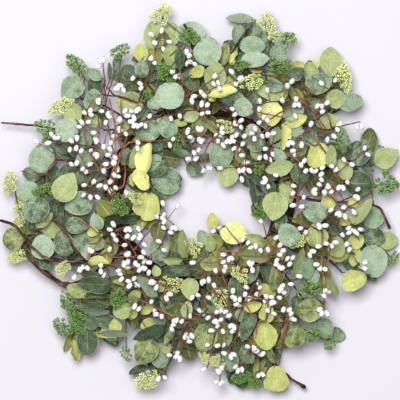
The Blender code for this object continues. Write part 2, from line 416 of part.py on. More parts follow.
def tube(path, radii, sides=3):
    """Return a closed tube along a path, as points and triangles."""
    points = []
    normal = None
    for index, centre in enumerate(path):
        ahead = path[min(index + 1, len(path) - 1)] - path[max(index - 1, 0)]
        ahead.normalize()
        if normal is None:
            normal = ahead.orthogonal()
        normal = (normal - ahead * normal.dot(ahead)).normalized()
        across = ahead.cross(normal)
        for side in range(sides):
            turn = 2 * math.pi * side / sides
            points.append(centre + (normal * math.cos(turn) + across * math.sin(turn)) * radii[index])
    faces = []
    for ring in range(len(path) - 1):
        for side in range(sides):
            near = ring * sides + side
            beside = ring * sides + (side + 1) % sides
            faces.append((near, beside, beside + sides))
            faces.append((near, beside + sides, near + sides))
    last = (len(path) - 1) * sides
    for side in range(1, sides - 1):
        faces.append((0, side + 1, side))
        faces.append((last, last + side, last + side + 1))
    return points, faces


def leaf(root, base, frame, length, width, stations, grow=0.0):
    """Return a leaf on its stalk: a lens-like blade of flat triangles with a raised midrib.

    A stalk that comes from under the blade first passes an elbow behind the blade's foot.
    """
    along, across, up = frame
    spine = [root, base]
    if (base - root).normalized().dot(along) < STRAIGHT_STALK:
        spine.insert(1, base - along * ELBOW - up * ELBOW * 0.2)
    points = []
    for index, place in enumerate(spine):
        ahead = along
        if index < len(spine) - 1:
            ahead = (spine[index + 1] - place).normalized()
            if index > 0:
                ahead = (ahead + (place - spine[index - 1]).normalized()).normalized()
        side = (across - ahead * across.dot(ahead)).normalized()
        rise = side.cross(ahead)
        thick = PETIOLE_RADIUS * (ROOT_SHARE if index == 0 else 1.0) + grow
        points += [place - side * thick, place + side * thick, place + rise * thick]
    faces = [(0, 1, 2)]
    for a in range(0, len(points) - 3, 3):
        faces += [(a, a + 3, a + 4), (a, a + 4, a + 1), (a + 1, a + 4, a + 5), (a + 1, a + 5, a + 2)]
        faces += [(a + 2, a + 5, a + 3), (a + 2, a + 3, a)]
    foot = len(points) - 3
    first = len(points)
    half = BLADE_THICKNESS / 2 + grow
    for place, share in stations:
        middle = base + along * (place * length) - up * (LEAF_DROOP * length * place * place)
        edge = across * (share * width / 2 + grow)
        lift = up * (LEAF_CUP * width * share)
        points += [middle - edge + lift, middle + edge + lift, middle + up * half, middle - up * half]
    points.append(base + along * (length + grow) - up * (LEAF_DROOP * length))
    left, right, top, under = first, first + 1, first + 2, first + 3
    faces += [(foot, foot + 2, top), (foot, top, left), (foot + 2, foot + 1, right)]
    faces += [(foot + 2, right, top), (foot + 1, foot, under), (foot, left, under), (foot + 1, under, right)]
    for a in range(first, len(points) - 5, 4):
        b = a + 4
        faces += [(a, a + 2, b + 2), (a, b + 2, b), (a + 2, a + 1, b + 1), (a + 2, b + 1, b + 2)]
        faces += [(a + 3, a, b), (a + 3, b, b + 3), (a + 1, a + 3, b + 3), (a + 1, b + 3, b + 1)]
    end = len(points) - 1
    a = end - 4
    faces += [(a, a + 2, end), (a + 2, a + 1, end), (a + 3, a, end), (a + 1, a + 3, end)]
    return points, faces


def berry(root, centre, radius, length, grow=0.0):
    """Return a berry on its short stalk: a three-sided drop drawn out to its root."""
    along = (centre - root).normalized()
    side = along.orthogonal().normalized()
    other = along.cross(side)
    points = [root]
    for place in (-0.32, 0.18):
        for turn in range(3):
            angle = 2 * math.pi / 3 * turn
            spoke = side * math.cos(angle) + other * math.sin(angle)
            points.append(centre + along * (place * length) + spoke * (radius + grow))
    points.append(centre + along * (length / 2 + grow))
    faces = []
    for turn in range(3):
        a, b = 1 + turn, 1 + (turn + 1) % 3
        faces += [(0, b, a), (a, b, b + 3), (a, b + 3, a + 3), (a + 3, b + 3, 7)]
    return points, faces


def seed_head(centre, facing, radius, rng, grow=0.0):
    """Return a seed head: a ball whose corners are drawn out into florets."""
    mesh = bmesh.new()
    rounds = 2 if radius >= LARGE_HEAD else 1
    if rounds == 2:
        bmesh.ops.create_icosphere(mesh, subdivisions=2, radius=1.0)
    else:
        bmesh.ops.create_icosphere(mesh, subdivisions=1, radius=1.0)
        bmesh.ops.poke(mesh, faces=list(mesh.faces)[::2])
    bmesh.ops.triangulate(mesh, faces=mesh.faces[:])
    turn = facing.to_track_quat("Z", "Y")
    points = []
    for vertex in mesh.verts:
        spoke = vertex.co.normalized()
        floret = len(vertex.link_edges) == (5 if rounds == 2 else 3)
        reach = rng.uniform(*(FLORET_REACH if floret else DIMPLE_REACH))
        squash = HEAD_BACK if spoke.z < 0 else HEAD_FRONT
        flat = Vector((spoke.x, spoke.y, spoke.z * squash))
        points.append(centre + turn @ (flat * (radius * reach + grow)))
    faces = [tuple(corner.index for corner in face.verts) for face in mesh.faces]
    mesh.free()
    return points, faces


def ring_shell():
    """Return the wound body of the ring: a torus whose lobes twist round it, pressed flat below."""
    sides = RING_LOBES * 2
    points = []
    for step in range(RING_STEPS):
        angle = 2 * math.pi * step / RING_STEPS
        radius = RING_RADIUS + sum(depth * math.sin(waves * angle + phase)
                                   for waves, depth, phase in RING_WAVES)
        waves, depth, phase = SECTION_WAVE
        section = RING_SECTION * (1 + depth * math.sin(waves * angle + phase))
        for side in range(sides):
            turn = 2 * math.pi * side / sides + RING_TURNS * angle
            lobe = section - (side % 2) * RING_LOBE_DEPTH
            height = max(0.0, RING_LIFT + lobe * math.sin(turn))
            points.append(polar(radius + lobe * math.cos(turn), angle, height))
    faces = []
    for step in range(RING_STEPS):
        for side in range(sides):
            near = step * sides + side
            beside = step * sides + (side + 1) % sides
            on = ((step + 1) % RING_STEPS) * sides
            faces.append((near, beside, on + (side + 1) % sides))
            faces.append((near, on + (side + 1) % sides, on + side))
    return points, faces


def loose_vine(start, sweep, turn_from, turn_by, rise):
    """Return a vine that leaves the ring, arches over it and goes back in."""
    path = []
    radii = []
    for step in range(LOOSE_VINE_STEPS):
        share = step / (LOOSE_VINE_STEPS - 1)
        angle = start + sweep * share
        turn = turn_from + turn_by * share
        arch = math.sqrt(max(0.0, math.sin(math.pi * share)))
        out = RING_SECTION - LOOSE_VINE_SINK + (rise + LOOSE_VINE_SINK) * arch
        height = max(LOOSE_VINE_RADIUS + 0.4, RING_LIFT + out * math.sin(turn))
        path.append(polar(RING_RADIUS + out * math.cos(turn), angle, height))
        radii.append(LOOSE_VINE_RADIUS)
    return tube(path, radii)


def seat_on_ring(ring_trees, angle, lane):
    """Return the ring's surface point and its outward direction at an angle round and a lane across."""
    outward = Vector((math.cos(angle) * math.cos(lane), math.sin(angle) * math.cos(lane), math.sin(lane)))
    centre = polar(RING_RADIUS, angle, RING_LIFT)
    start = centre + outward * RAY_START
    best = None
    for tree in ring_trees:
        place, _, _, _ = tree.ray_cast(start, -outward)
        if place is not None and (best is None or (place - start).length < (best - start).length):
            best = place
    return best, outward


def seats(angle, lanes, ring_trees):
    """Yield feet and outward directions on the ring, near an angle round it, the best ones first."""
    for shift in SEAT_SHIFTS:
        for lane in lanes:
            place, outward = seat_on_ring(ring_trees, angle + shift, math.radians(lane))
            for step in range(SEAT_TRIES):
                yield place + outward * (SEAT_GAP + SEAT_STEP * step), outward


def is_clear_seat(foot, outward, path, radii, name, space, sides):
    """Say whether a stem from a foot on the ring keeps its gap from everything."""
    fat = tube([foot - outward * SEAT_MARGIN] + path, [radius + SEAT_MARGIN for radius in radii], sides)
    return not space.meets(fat, name, False)


def seat_twig(path, radii, name, space, ring_trees):
    """Return a dark twig's path with its first point moved to a clear seat on the ring."""
    angle = math.atan2(path[0].y, path[0].x)
    for foot, outward in seats(angle, DARK_TWIG_LANES, ring_trees):
        seated = [foot + outward * HUB_RISE] + path[1:]
        if is_clear_seat(foot, outward, seated, radii, name, space, TWIG_SIDES):
            break
    return [foot] + seated


class Spray:
    """A node that grows from one seat on the ring, with the stem points others can join."""

    def __init__(self, name, slot, angle, lanes):
        self.name = name
        self.slot = slot
        self.angle = angle
        self.lanes = lanes
        self.foot = None
        self.stub = None
        self.hub = None
        self.joints = []

    def seat(self, space, ring_trees, hubs):
        """Root the node's first stub on the ring at the first clear seat."""
        radii = [STEM_ROOT_RADIUS, STEM_ROOT_RADIUS]
        for foot, outward in seats(self.angle, self.lanes, ring_trees):
            hub = foot + outward * HUB_RISE
            if any((hub - spot).length < HUB_SPACING for spot in hubs):
                continue
            if is_clear_seat(foot, outward, [hub], radii, self.name, space, 3):
                break
        self.foot = foot
        self.hub = hub
        self.stub = len(space.solids)
        self.joints.append(hub)
        space.add(self.name, tube([foot, hub], radii))
        hubs.append(hub)

    def grow_stem(self, space, path, radii, margin, rng):
        """Add a stem along a path and remember points on it; say whether it was clear."""
        fat = tube(path, [radius + margin for radius in radii])
        if space.meets(fat, self.name, False):
            return False
        first = self.foot is not None and path[0] == self.hub
        first = first and (self.hub - self.foot).dot(path[1] - path[0]) > 0
        path = [path[0] + nudge(rng)] + path[1:]
        if first:
            radii = [STEM_ROOT_RADIUS, max(STEM_ROOT_RADIUS * 0.9, radii[0])] + list(radii[1:])
            shell = tube([self.foot] + path, radii)
            if space.meets(shell, self.name, False):
                return False
            self.foot = None
            space.add(self.name, shell, self.stub)
        else:
            space.add(self.name, tube(path, radii))
        for near, far in zip(path, path[1:]):
            pieces = max(1, round((far - near).length / JOINT_SPACING))
            self.joints += [near.lerp(far, (piece + 1) / pieces) for piece in range(pieces)]
        return True

    def nearest(self, place, count=4):
        """Return the stem points nearest to a place, spread along the stems."""
        ordered = sorted(self.joints, key=lambda joint: (joint - place).length)
        kept = []
        for joint in ordered:
            if all((joint - other).length > JOINT_CHOICE for other in kept):
                kept.append(joint)
            if len(kept) == count:
                break
        return kept


def sector_of(x, y, count, phase):
    """Return the number of the sector of the circle that holds a place."""
    return int(((math.atan2(y, x) - phase) % (2 * math.pi)) / (2 * math.pi / count)) % count


def make_sprays(kind, slot, places, count, lanes, phase=0.0):
    """Make one spray for each sector that holds any place, at the places' middle angle."""
    sprays = {}
    for sector in range(count):
        inside = [place for place in places if sector_of(place[0], place[1], count, phase) == sector]
        if not inside:
            continue
        x = sum(place[0] / math.hypot(place[0], place[1]) for place in inside)
        y = sum(place[1] / math.hypot(place[0], place[1]) for place in inside)
        sprays[sector] = Spray(f"{kind}_{len(sprays) + 1}", slot, math.atan2(y, x), lanes)
    return sprays


def arm_path(hub, end, lift, rng):
    """Return the path of a leafy stem from its hub to the place where its last leaf grows."""
    path = [hub]
    start = math.atan2(hub.y, hub.x)
    turn = (math.atan2(end[1], end[0]) - start + math.pi) % (2 * math.pi) - math.pi
    near, far = math.hypot(hub.x, hub.y), math.hypot(end[0], end[1])
    steps = max(2, round(abs(far - near) / STEM_STEP) + 1)
    for step in range(1, steps + 1):
        share = step / steps
        radius = near + (far - near) * share
        sway = rng.uniform(-STEM_SWAY, STEM_SWAY) * (1 + abs(lift) / 5)
        angle = start + turn * share + sway / radius
        spot = polar(radius, angle, 0.0)
        over_ring = RING_CLEAR ** 2 - (radius - RING_RADIUS) ** 2
        level = stem_height(spot.x, spot.y)
        if over_ring > 0:
            level = max(level, RING_LIFT + math.sqrt(over_ring))
        spot.z = max(LOWEST_STEM, level + lift)
        path.append(spot)
    return path


def leaf_frame(direction, roll, pitch):
    """Return the leaf's along, across and up directions."""
    along = Vector((math.cos(direction) * math.cos(pitch), math.sin(direction) * math.cos(pitch),
                    math.sin(pitch)))
    across = Vector((math.sin(direction), -math.cos(direction), 0.0))
    up = across.cross(along)
    if up.z < 0:
        up = -up
    across, up = (across * math.cos(roll) + up * math.sin(roll),
                  up * math.cos(roll) - across * math.sin(roll))
    return along, across, up


def leaf_choices(row, spray, rng):
    """Yield places and poses for a leaf, the most faithful ones first."""
    shade, x, y, length, seen, tip, layer = row
    width = max(seen, 0.66 * length)
    roll = math.acos(min(1.0, seen / width)) * rng.choice((-1, 1))
    distance = math.hypot(x, y)
    if tip is None:
        near = min(spray.joints, key=lambda joint: math.hypot(joint.x - x, joint.y - y))
        direction = math.atan2(y - near.y, x - near.x) + rng.uniform(-0.4, 0.4)
    else:
        direction = math.radians(tip)
    outward = math.cos(direction - math.atan2(y, x))
    slope = -0.22 if distance > 190 else (0.05 if distance > 110 else 0.18)
    pitch = slope * outward + rng.uniform(-0.08, 0.08)
    level = front_height(x, y) - LAYER_DROP[layer]
    for spread in LEAF_SPREADS:
        for drop in LEAF_DROPS:
            height = level + drop
            if height < LOWEST_LEAF or height > HIGHEST_LEAF:
                continue
            for lean in LEAF_LEANS:
                angle = rng.uniform(0, 2 * math.pi)
                spot = Vector((x + spread * math.cos(angle), y + spread * math.sin(angle), height))
                frame = leaf_frame(direction, roll + lean, pitch)
                yield spot, frame, length, width


def place_leaf(row, spray, space, rng):
    """Add a leaf to its spray where it is clear of everything; say whether a place was found."""
    stations = LONG_STATIONS if row[3] >= LONG_LEAF else SHORT_STATIONS
    for spot, frame, length, width in leaf_choices(row, spray, rng):
        base = spot - frame[0] * (length / 2)
        for joint in spray.nearest(base, STALK_CHOICES):
            reach = base - joint
            if reach.length < SHORTEST_STALK or abs(reach.normalized().dot(frame[1])) > SIDEWAYS_STALK:
                continue
            from_tip = reach.normalized().dot(frame[0]) < STRAIGHT_STALK
            if from_tip and reach.z < STALK_SLOPE * reach.xy.length:
                continue
            fat = leaf(joint, base, frame, length, width, stations, CLEARANCE)
            if min(point.z for point in fat[0]) < LOWEST_POINT or space.meets(fat, spray.name, False):
                continue
            clear = joint + reach * min(0.8, ROOT_LENGTH / reach.length)
            short = leaf(clear, base, frame, length, width, stations)
            if space.meets(short, spray.name, True):
                continue
            space.add(spray.name, leaf(joint + nudge(rng), base, frame, length, width, stations))
            return True
    return False


def is_solid(row):
    """Say whether a leaf of the plan is large, in front or at the rim, and so is modelled."""
    if row[6] == 2:
        return False
    return row[3] >= SMALLEST_LEAF or row[6] == 0 or math.hypot(row[1], row[2]) > RIM


def straighten(path):
    """Drop the inner points of a run that lie close to the line between their neighbours."""
    kept = [path[0]]
    for index in range(1, len(path) - 1):
        near, here, far = kept[-1], path[index], path[index + 1]
        line = (far - near).normalized()
        offset = (here - near) - line * (here - near).dot(line)
        if offset.length > TWIG_BEND:
            kept.append(here)
    kept.append(path[-1])
    return kept


def grow_arms(spray, rows, space, rng):
    """Grow a spray's stem over the ring's outside and inside, as far as its leaves reach."""
    outer = [row for row in rows if math.hypot(row[1], row[2]) > RING_RADIUS + OUTER_ARM]
    inner = [row for row in rows if math.hypot(row[1], row[2]) < RING_RADIUS - INNER_ARM]
    for arm in (outer, inner):
        if not arm:
            continue
        last = max(arm, key=lambda row: abs(math.hypot(row[1], row[2]) - RING_RADIUS))
        away = math.hypot(last[1], last[2])
        reach = away + (-OUTER_ARM_SHORT if away > RING_RADIUS else INNER_ARM_SHORT)
        end = (last[1] * reach / away, last[2] * reach / away)
        for attempt in range(ARM_TRIES):
            path = arm_path(spray.hub, end, STEM_LIFTS[attempt % len(STEM_LIFTS)], rng)
            steps = len(path) - 1
            radii = [STEM_ROOT_RADIUS + (STEM_TIP_RADIUS - STEM_ROOT_RADIUS) * step / steps
                     for step in range(steps + 1)]
            if spray.grow_stem(space, path, radii, CLEARANCE, rng):
                break
            end = (end[0] + rng.uniform(-ARM_DRIFT, ARM_DRIFT), end[1] + rng.uniform(-ARM_DRIFT, ARM_DRIFT))


def place_twigs(twigs, sprays, space, rng):
    """Add the berry twigs to their sprays, each joined to the nearest stem of its own spray."""
    owners = []
    lengths = [sum(math.dist(near, far) for near, far in zip(run, run[1:])) for run in twigs]
    for run in (run for run, length in zip(twigs, lengths) if length >= SHORTEST_TWIG):
        ends = [run[0], run[-1]]
        ends.sort(key=lambda place: abs(math.hypot(place[0], place[1]) - RING_RADIUS))
        ordered = list(run) if ends[0] == run[0] else list(run)[::-1]
        spray = sprays[sector_of(ordered[0][0], ordered[0][1], TWIG_SECTORS, 0.0)]
        owners.append((spray, ordered))
    owners.sort(key=lambda item: (item[1][0][0] - item[0].hub.x) ** 2 + (item[1][0][1] - item[0].hub.y) ** 2)
    runs = []
    for spray, ordered in owners:
        for lift in TWIG_LIFTS:
            path = straighten([Vector((x, y, max(LOWEST_TWIG, front_height(x, y) + lift)))
                               for x, y in ordered])
            radii = [TWIG_RADIUS * (1.1 - 0.3 * step / len(path)) for step in range(len(path) + 1)]
            radii[0] = TWIG_RADIUS * ROOT_SHARE
            done = False
            for joint in spray.nearest(path[0], 3):
                if (path[0] - joint).length < 3:
                    continue
                if spray.grow_stem(space, [joint] + path, radii, CLEARANCE, rng):
                    done = True
                    break
            if done:
                runs.append((spray, path))
                break
    return runs


def berry_spots(x, y, runs):
    """Return the points on the twigs nearest to a berry's place in the plan, each with its spray."""
    spots = []
    for spray, path in runs:
        for near, far in zip(path, path[1:]):
            for share in (0.1, 0.35, 0.6, 0.85, 1.0):
                spot = near.lerp(far, share)
                gap = math.hypot(spot.x - x, spot.y - y)
                if gap < BERRY_REACH:
                    spots.append((gap, spray, spot))
    spots.sort(key=lambda item: item[0])
    return [(spray, spot) for _, spray, spot in spots[:6]]


def place_berry(x, y, runs, space, rng):
    """Add a berry on the nearest twig where it is clear; say whether a place was found."""
    for spray, spot in berry_spots(x, y, runs):
        for rise in BERRY_RISES:
            centre = Vector((x, y, spot.z + rise))
            away = (centre - spot).normalized()
            if (centre - spot).length < BERRY_STALK:
                centre = spot + away * BERRY_STALK
            if centre.z < LOWEST_BERRY:
                continue
            if space.meets(berry(spot, centre, BERRY_RADIUS, BERRY_LENGTH, CLEARANCE), spray.name, False):
                continue
            start = spot + away * ROOT_LENGTH * 0.5
            if space.meets(berry(start, centre, BERRY_RADIUS, BERRY_LENGTH), spray.name, True):
                continue
            root = spot - away * 0.3 + nudge(rng)
            space.add(spray.name, berry(root, centre, BERRY_RADIUS, BERRY_LENGTH))
            return True
    return False


def head_stalk_paths(spray, foot):
    """Yield straight and bowed paths from the spray's nearest stem points to a head's foot."""
    for joint in spray.nearest(foot, 5):
        flat = foot - joint
        yield [joint, foot]
        for bow in (0.35, -0.3, 0.7):
            sag = Vector((0.0, 0.0, bow * (abs(flat.z) + 4)))
            yield [joint, joint + flat * 0.55 - sag, foot]


def place_head(x, y, radius, spray, space, rng):
    """Add a seed head on its stalk, joined to its spray; say whether a place was found."""
    for drop in HEAD_DROPS:
        height = front_height(x, y) + drop
        if height < radius * HEAD_BACK + LOWEST_POINT:
            continue
        centre = Vector((x, y, height))
        outward = centre - Vector((0.0, 0.0, RING_LIFT))
        facing = (outward.normalized() * 0.5 + Vector((0.0, 0.0, 1.0))).normalized()
        seed = rng.random()
        shell = seed_head(centre, facing, radius, random.Random(seed))
        fat = seed_head(centre, facing, radius, random.Random(seed), CLEARANCE)
        if space.meets(fat, spray.name, False) or space.meets(fat, spray.name, True):
            continue
        for path in head_stalk_paths(spray, centre - facing * (radius * HEAD_SINK)):
            if min(spot.z for spot in path) < LOWEST_POINT + STALK_RADIUS:
                continue
            radii = [STALK_RADIUS * ROOT_SHARE] + [STALK_RADIUS] * (len(path) - 1)
            if spray.grow_stem(space, path, radii, CLEARANCE, rng):
                space.add(spray.name, shell)
                return True
    return False


def place_heads(heads, sprays, sectors, phase, space, rng):
    """Add the seed heads to their sprays, those nearest to the ring first."""
    large = [head for head in heads if head[2] >= SMALLEST_HEAD]
    for x, y, radius in sorted(large, key=lambda head: abs(math.hypot(head[0], head[1]) - RING_RADIUS)):
        place_head(x, y, radius, sprays[sector_of(x, y, sectors, phase)], space, rng)


def lay_ring(space, rng):
    """Add the ring and its loose vines; return their trees."""
    space.add("vine_ring", ring_shell())
    for number in range(LOOSE_VINES):
        start = 2 * math.pi * number / LOOSE_VINES + rng.uniform(-0.2, 0.2)
        ranges = (LOOSE_VINE_SWEEP, LOOSE_VINE_FROM, LOOSE_VINE_TURN, LOOSE_VINE_RISE)
        space.add("vine_ring", loose_vine(start, *[rng.uniform(*limits) for limits in ranges]))
    return [tree for _, _, tree in space.solids]


def lay_dark_twigs(space, ring_trees):
    """Add the bare dark twigs, each seated on the ring; return their names."""
    names = []
    for number, group in enumerate(DARK_TWIGS):
        name = f"dark_twig_{number + 1}"
        names.append(name)
        for part, run in enumerate(group):
            path = [Vector(point[:3]) for point in run]
            radii = [point[3] for point in run]
            if part == 0:
                radii = [radii[0]] + radii
                path = seat_twig(path, radii, name, space, ring_trees)
            space.add(name, tube(path, radii, TWIG_SIDES))
    return names


def make_families():
    """Return the sprays of every family, by family and then by sector."""
    twig_roots = [min((run[0], run[-1]), key=lambda place: abs(math.hypot(*place) - RING_RADIUS))
                  for run in BERRY_TWIGS]
    families = {
        "berry": make_sprays("berry_spray", "berry", twig_roots, TWIG_SECTORS, TWIG_LANES),
        "green": make_sprays("green_head_spray", "green_head", GREEN_HEADS, GREEN_HEAD_SECTORS,
                             GREEN_HEAD_LANES, GREEN_HEAD_PHASE),
        "lime_head": make_sprays("lime_head_spray", "lime_head", LIME_HEADS, LIME_HEAD_SECTORS,
                                 LIME_HEAD_LANES, LIME_HEAD_PHASE),
    }
    for family, count in SPRAY_SECTORS.items():
        places = [row[1:3] for row in LEAVES if FAMILY[row[0]] == family]
        families[family] = make_sprays(f"{family}_spray", family, places, count, LEAF_LANES)
    return families


def lay_out():
    """Place every solid; return the space and the list of (node, material slot)."""
    rng = random.Random(SEED)
    space = Space()
    ring_trees = lay_ring(space, rng)
    nodes = [("vine_ring", "vine")]
    nodes += [(name, "dark_twig") for name in lay_dark_twigs(space, ring_trees)]
    families = make_families()
    hubs = []
    for sprays in families.values():
        for spray in sprays.values():
            nodes.append((spray.name, spray.slot))
            spray.seat(space, ring_trees, hubs)
    runs = place_twigs(BERRY_TWIGS, families["berry"], space, rng)
    owners = []
    for row in LEAVES:
        family = FAMILY[row[0]]
        if is_solid(row):
            owners.append((row, families[family][sector_of(row[1], row[2], SPRAY_SECTORS[family], 0.0)]))
    for family in SPRAY_SECTORS:
        for spray in families[family].values():
            grow_arms(spray, [row for row, owner in owners if owner is spray], space, rng)
    place_heads(GREEN_HEADS, families["green"], GREEN_HEAD_SECTORS, GREEN_HEAD_PHASE, space, rng)
    place_heads(LIME_HEADS, families["lime_head"], LIME_HEAD_SECTORS, LIME_HEAD_PHASE, space, rng)
    for x, y in BERRIES[::BERRY_SHARE]:
        place_berry(x, y, runs, space, rng)
    owners.sort(key=lambda item: (item[0][6], -item[0][3] * item[0][4]))
    for row, spray in owners:
        place_leaf(row, spray, space, rng)
    return space, nodes


def mesh_object(name, shell, shift, material, collection):
    """Make a mesh object from a shell given in millimetres, moved by a shift."""
    points, faces = shell
    mesh = bpy.data.meshes.new(name)
    mesh.from_pydata([tuple((point + shift) * MM) for point in points], [], faces)
    work = bmesh.new()
    work.from_mesh(mesh)
    bmesh.ops.recalc_face_normals(work, faces=work.faces[:])
    if work.calc_volume(signed=True) < 0:
        bmesh.ops.reverse_faces(work, faces=work.faces[:])
    work.to_mesh(mesh)
    work.free()
    mesh.materials.append(material)
    item = bpy.data.objects.new(name, mesh)
    collection.objects.link(item)
    return item


def tidy(work):
    """Merge flat neighbours and tiny edges of a mesh, then split it into triangles."""
    bmesh.ops.dissolve_limit(work, angle_limit=FLAT_ANGLE, verts=work.verts[:], edges=work.edges[:])
    bmesh.ops.remove_doubles(work, verts=work.verts[:], dist=MERGE_DISTANCE)
    bmesh.ops.dissolve_degenerate(work, edges=work.edges[:], dist=MERGE_DISTANCE)
    bmesh.ops.triangulate(work, faces=work.faces[:])


def open_edges(work):
    """Count the edges that don't join exactly two faces."""
    return sum(1 for edge in work.edges if len(edge.link_faces) != 2)


def keep_largest(item):
    """Keep the largest joined piece of a mesh as triangles; return its scraps and open edges."""
    work = bmesh.new()
    work.from_mesh(item.data)
    before = open_edges(work)
    tidy(work)
    if open_edges(work) and not before:
        work.clear()
        work.from_mesh(item.data)
        bmesh.ops.triangulate(work, faces=work.faces[:])
    left = set(work.faces)
    groups = []
    while left:
        stack = [left.pop()]
        group = []
        while stack:
            face = stack.pop()
            group.append(face)
            for edge in face.edges:
                for other in edge.link_faces:
                    if other in left:
                        left.discard(other)
                        stack.append(other)
        groups.append(group)
    groups.sort(key=len, reverse=True)
    for group in groups[1:]:
        bmesh.ops.delete(work, geom=group, context="FACES")
    loose = [vertex for vertex in work.verts if not vertex.link_faces]
    bmesh.ops.delete(work, geom=loose, context="VERTS")
    still_open = open_edges(work)
    work.to_mesh(item.data)
    work.free()
    return len(groups) - 1, still_open


def union(item, start, cutters, solver):
    """Union an object's starting mesh with a collection; return its scraps and open edges."""
    item.data = start.copy()
    modifier = item.modifiers.new("union", "BOOLEAN")
    modifier.operation = "UNION"
    modifier.operand_type = "COLLECTION"
    modifier.collection = cutters
    modifier.solver = solver
    bpy.context.view_layer.update()
    graph = bpy.context.evaluated_depsgraph_get()
    mesh = bpy.data.meshes.new_from_object(item.evaluated_get(graph))
    item.modifiers.clear()
    item.data = mesh
    return keep_largest(item)


def fuse(item, tools, cutters):
    """Union an object with its other pieces through a collection, then apply it.

    When the whole set doesn't give one clean body, it is tried again with one piece fewer.
    """
    if not tools:
        keep_largest(item)
        return
    start = item.data
    clean = (0, 0)
    state = union(item, start, cutters, "MANIFOLD")
    if state != clean:
        state = union(item, start, cutters, "EXACT")
    for tool in reversed(tools):
        if state == clean:
            break
        cutters.objects.unlink(tool)
        state = union(item, start, cutters, "MANIFOLD")
        if state != clean:
            cutters.objects.link(tool)


def make_material(name, colour):
    """Make a plain material for a node."""
    material = bpy.data.materials.new(f"{name}_material")
    material.use_nodes = True
    shader = material.node_tree.nodes["Principled BSDF"]
    shader.inputs["Base Color"].default_value = colour
    shader.inputs["Roughness"].default_value = ROUGHNESS
    return material


def build():
    """Build every node of the wreath, with its whole box centred over the origin."""
    for item in list(bpy.data.objects):
        bpy.data.objects.remove(item)
    wreath = bpy.data.collections.new("eucalyptus_wreath")
    cutters = bpy.data.collections.new("fused_pieces")
    bpy.context.scene.collection.children.link(wreath)
    bpy.context.scene.collection.children.link(cutters)
    space, nodes = lay_out()
    middle = (space.lows[:len(space.solids)].min(axis=0) + space.highs[:len(space.solids)].max(axis=0)) / 2
    shift = Vector((-middle[0], -middle[1], 0.0))
    for name, slot in nodes:
        material = make_material(name, COLOURS[slot])
        shells = space.shells(name)
        item = mesh_object(name, shells[0], shift, material, wreath)
        tools = [mesh_object(f"{name}_piece", shell, shift, material, cutters) for shell in shells[1:]]
        fuse(item, tools, cutters)
        for tool in tools:
            bpy.data.objects.remove(tool)


build()
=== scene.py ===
"""Eucalyptus wreath: fine leaves, vines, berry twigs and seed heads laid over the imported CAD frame.

The wreath lies on its back in the XY plane, its front facing +Z and its hanging top towards +Y. The plans
below are in millimetres from the middle of the wreath, and repeat where the solids of the frame have their
leaves, stems, berries and heads. Angles in plans are in degrees.
"""

import json
import logging
import math
import random
from dataclasses import dataclass, field
from enum import Enum

import bpy
import numpy as np
from mathutils import Matrix, Quaternion, Vector

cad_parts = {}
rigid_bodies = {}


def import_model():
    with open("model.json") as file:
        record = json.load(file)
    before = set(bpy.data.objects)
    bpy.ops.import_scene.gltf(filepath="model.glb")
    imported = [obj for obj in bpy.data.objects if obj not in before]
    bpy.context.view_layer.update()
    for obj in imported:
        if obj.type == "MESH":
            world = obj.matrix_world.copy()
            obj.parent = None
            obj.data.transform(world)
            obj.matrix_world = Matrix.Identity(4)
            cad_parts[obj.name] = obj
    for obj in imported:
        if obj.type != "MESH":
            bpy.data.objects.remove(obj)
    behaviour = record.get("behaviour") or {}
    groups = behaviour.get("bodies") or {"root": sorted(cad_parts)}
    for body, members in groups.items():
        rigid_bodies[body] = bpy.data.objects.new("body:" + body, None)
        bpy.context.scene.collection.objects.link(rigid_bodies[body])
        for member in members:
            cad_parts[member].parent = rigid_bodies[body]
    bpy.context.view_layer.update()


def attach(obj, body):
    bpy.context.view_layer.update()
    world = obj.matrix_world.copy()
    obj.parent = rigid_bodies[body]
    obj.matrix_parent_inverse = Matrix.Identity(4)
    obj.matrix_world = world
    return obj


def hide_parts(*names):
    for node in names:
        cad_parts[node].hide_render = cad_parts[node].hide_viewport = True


MM = 0.001
SEED = 4042
PLAN_SHIFT = (0.023, -0.65)  # from the plans' middle to the frame's, in millimetres
RING_LIFT = 12.5  # height of the ring's middle line, in millimetres
BUMP_STRENGTH = 0.7
SHEEN = 0.16  # specular level of every finish
UP = Vector((0.0, 0.0, 1.0))
Colour = tuple[float, float, float]
Path = list[Vector]
Item = bpy.types.Object
Material = bpy.types.Material
Socket = bpy.types.NodeSocket
log = logging.getLogger("wreath")

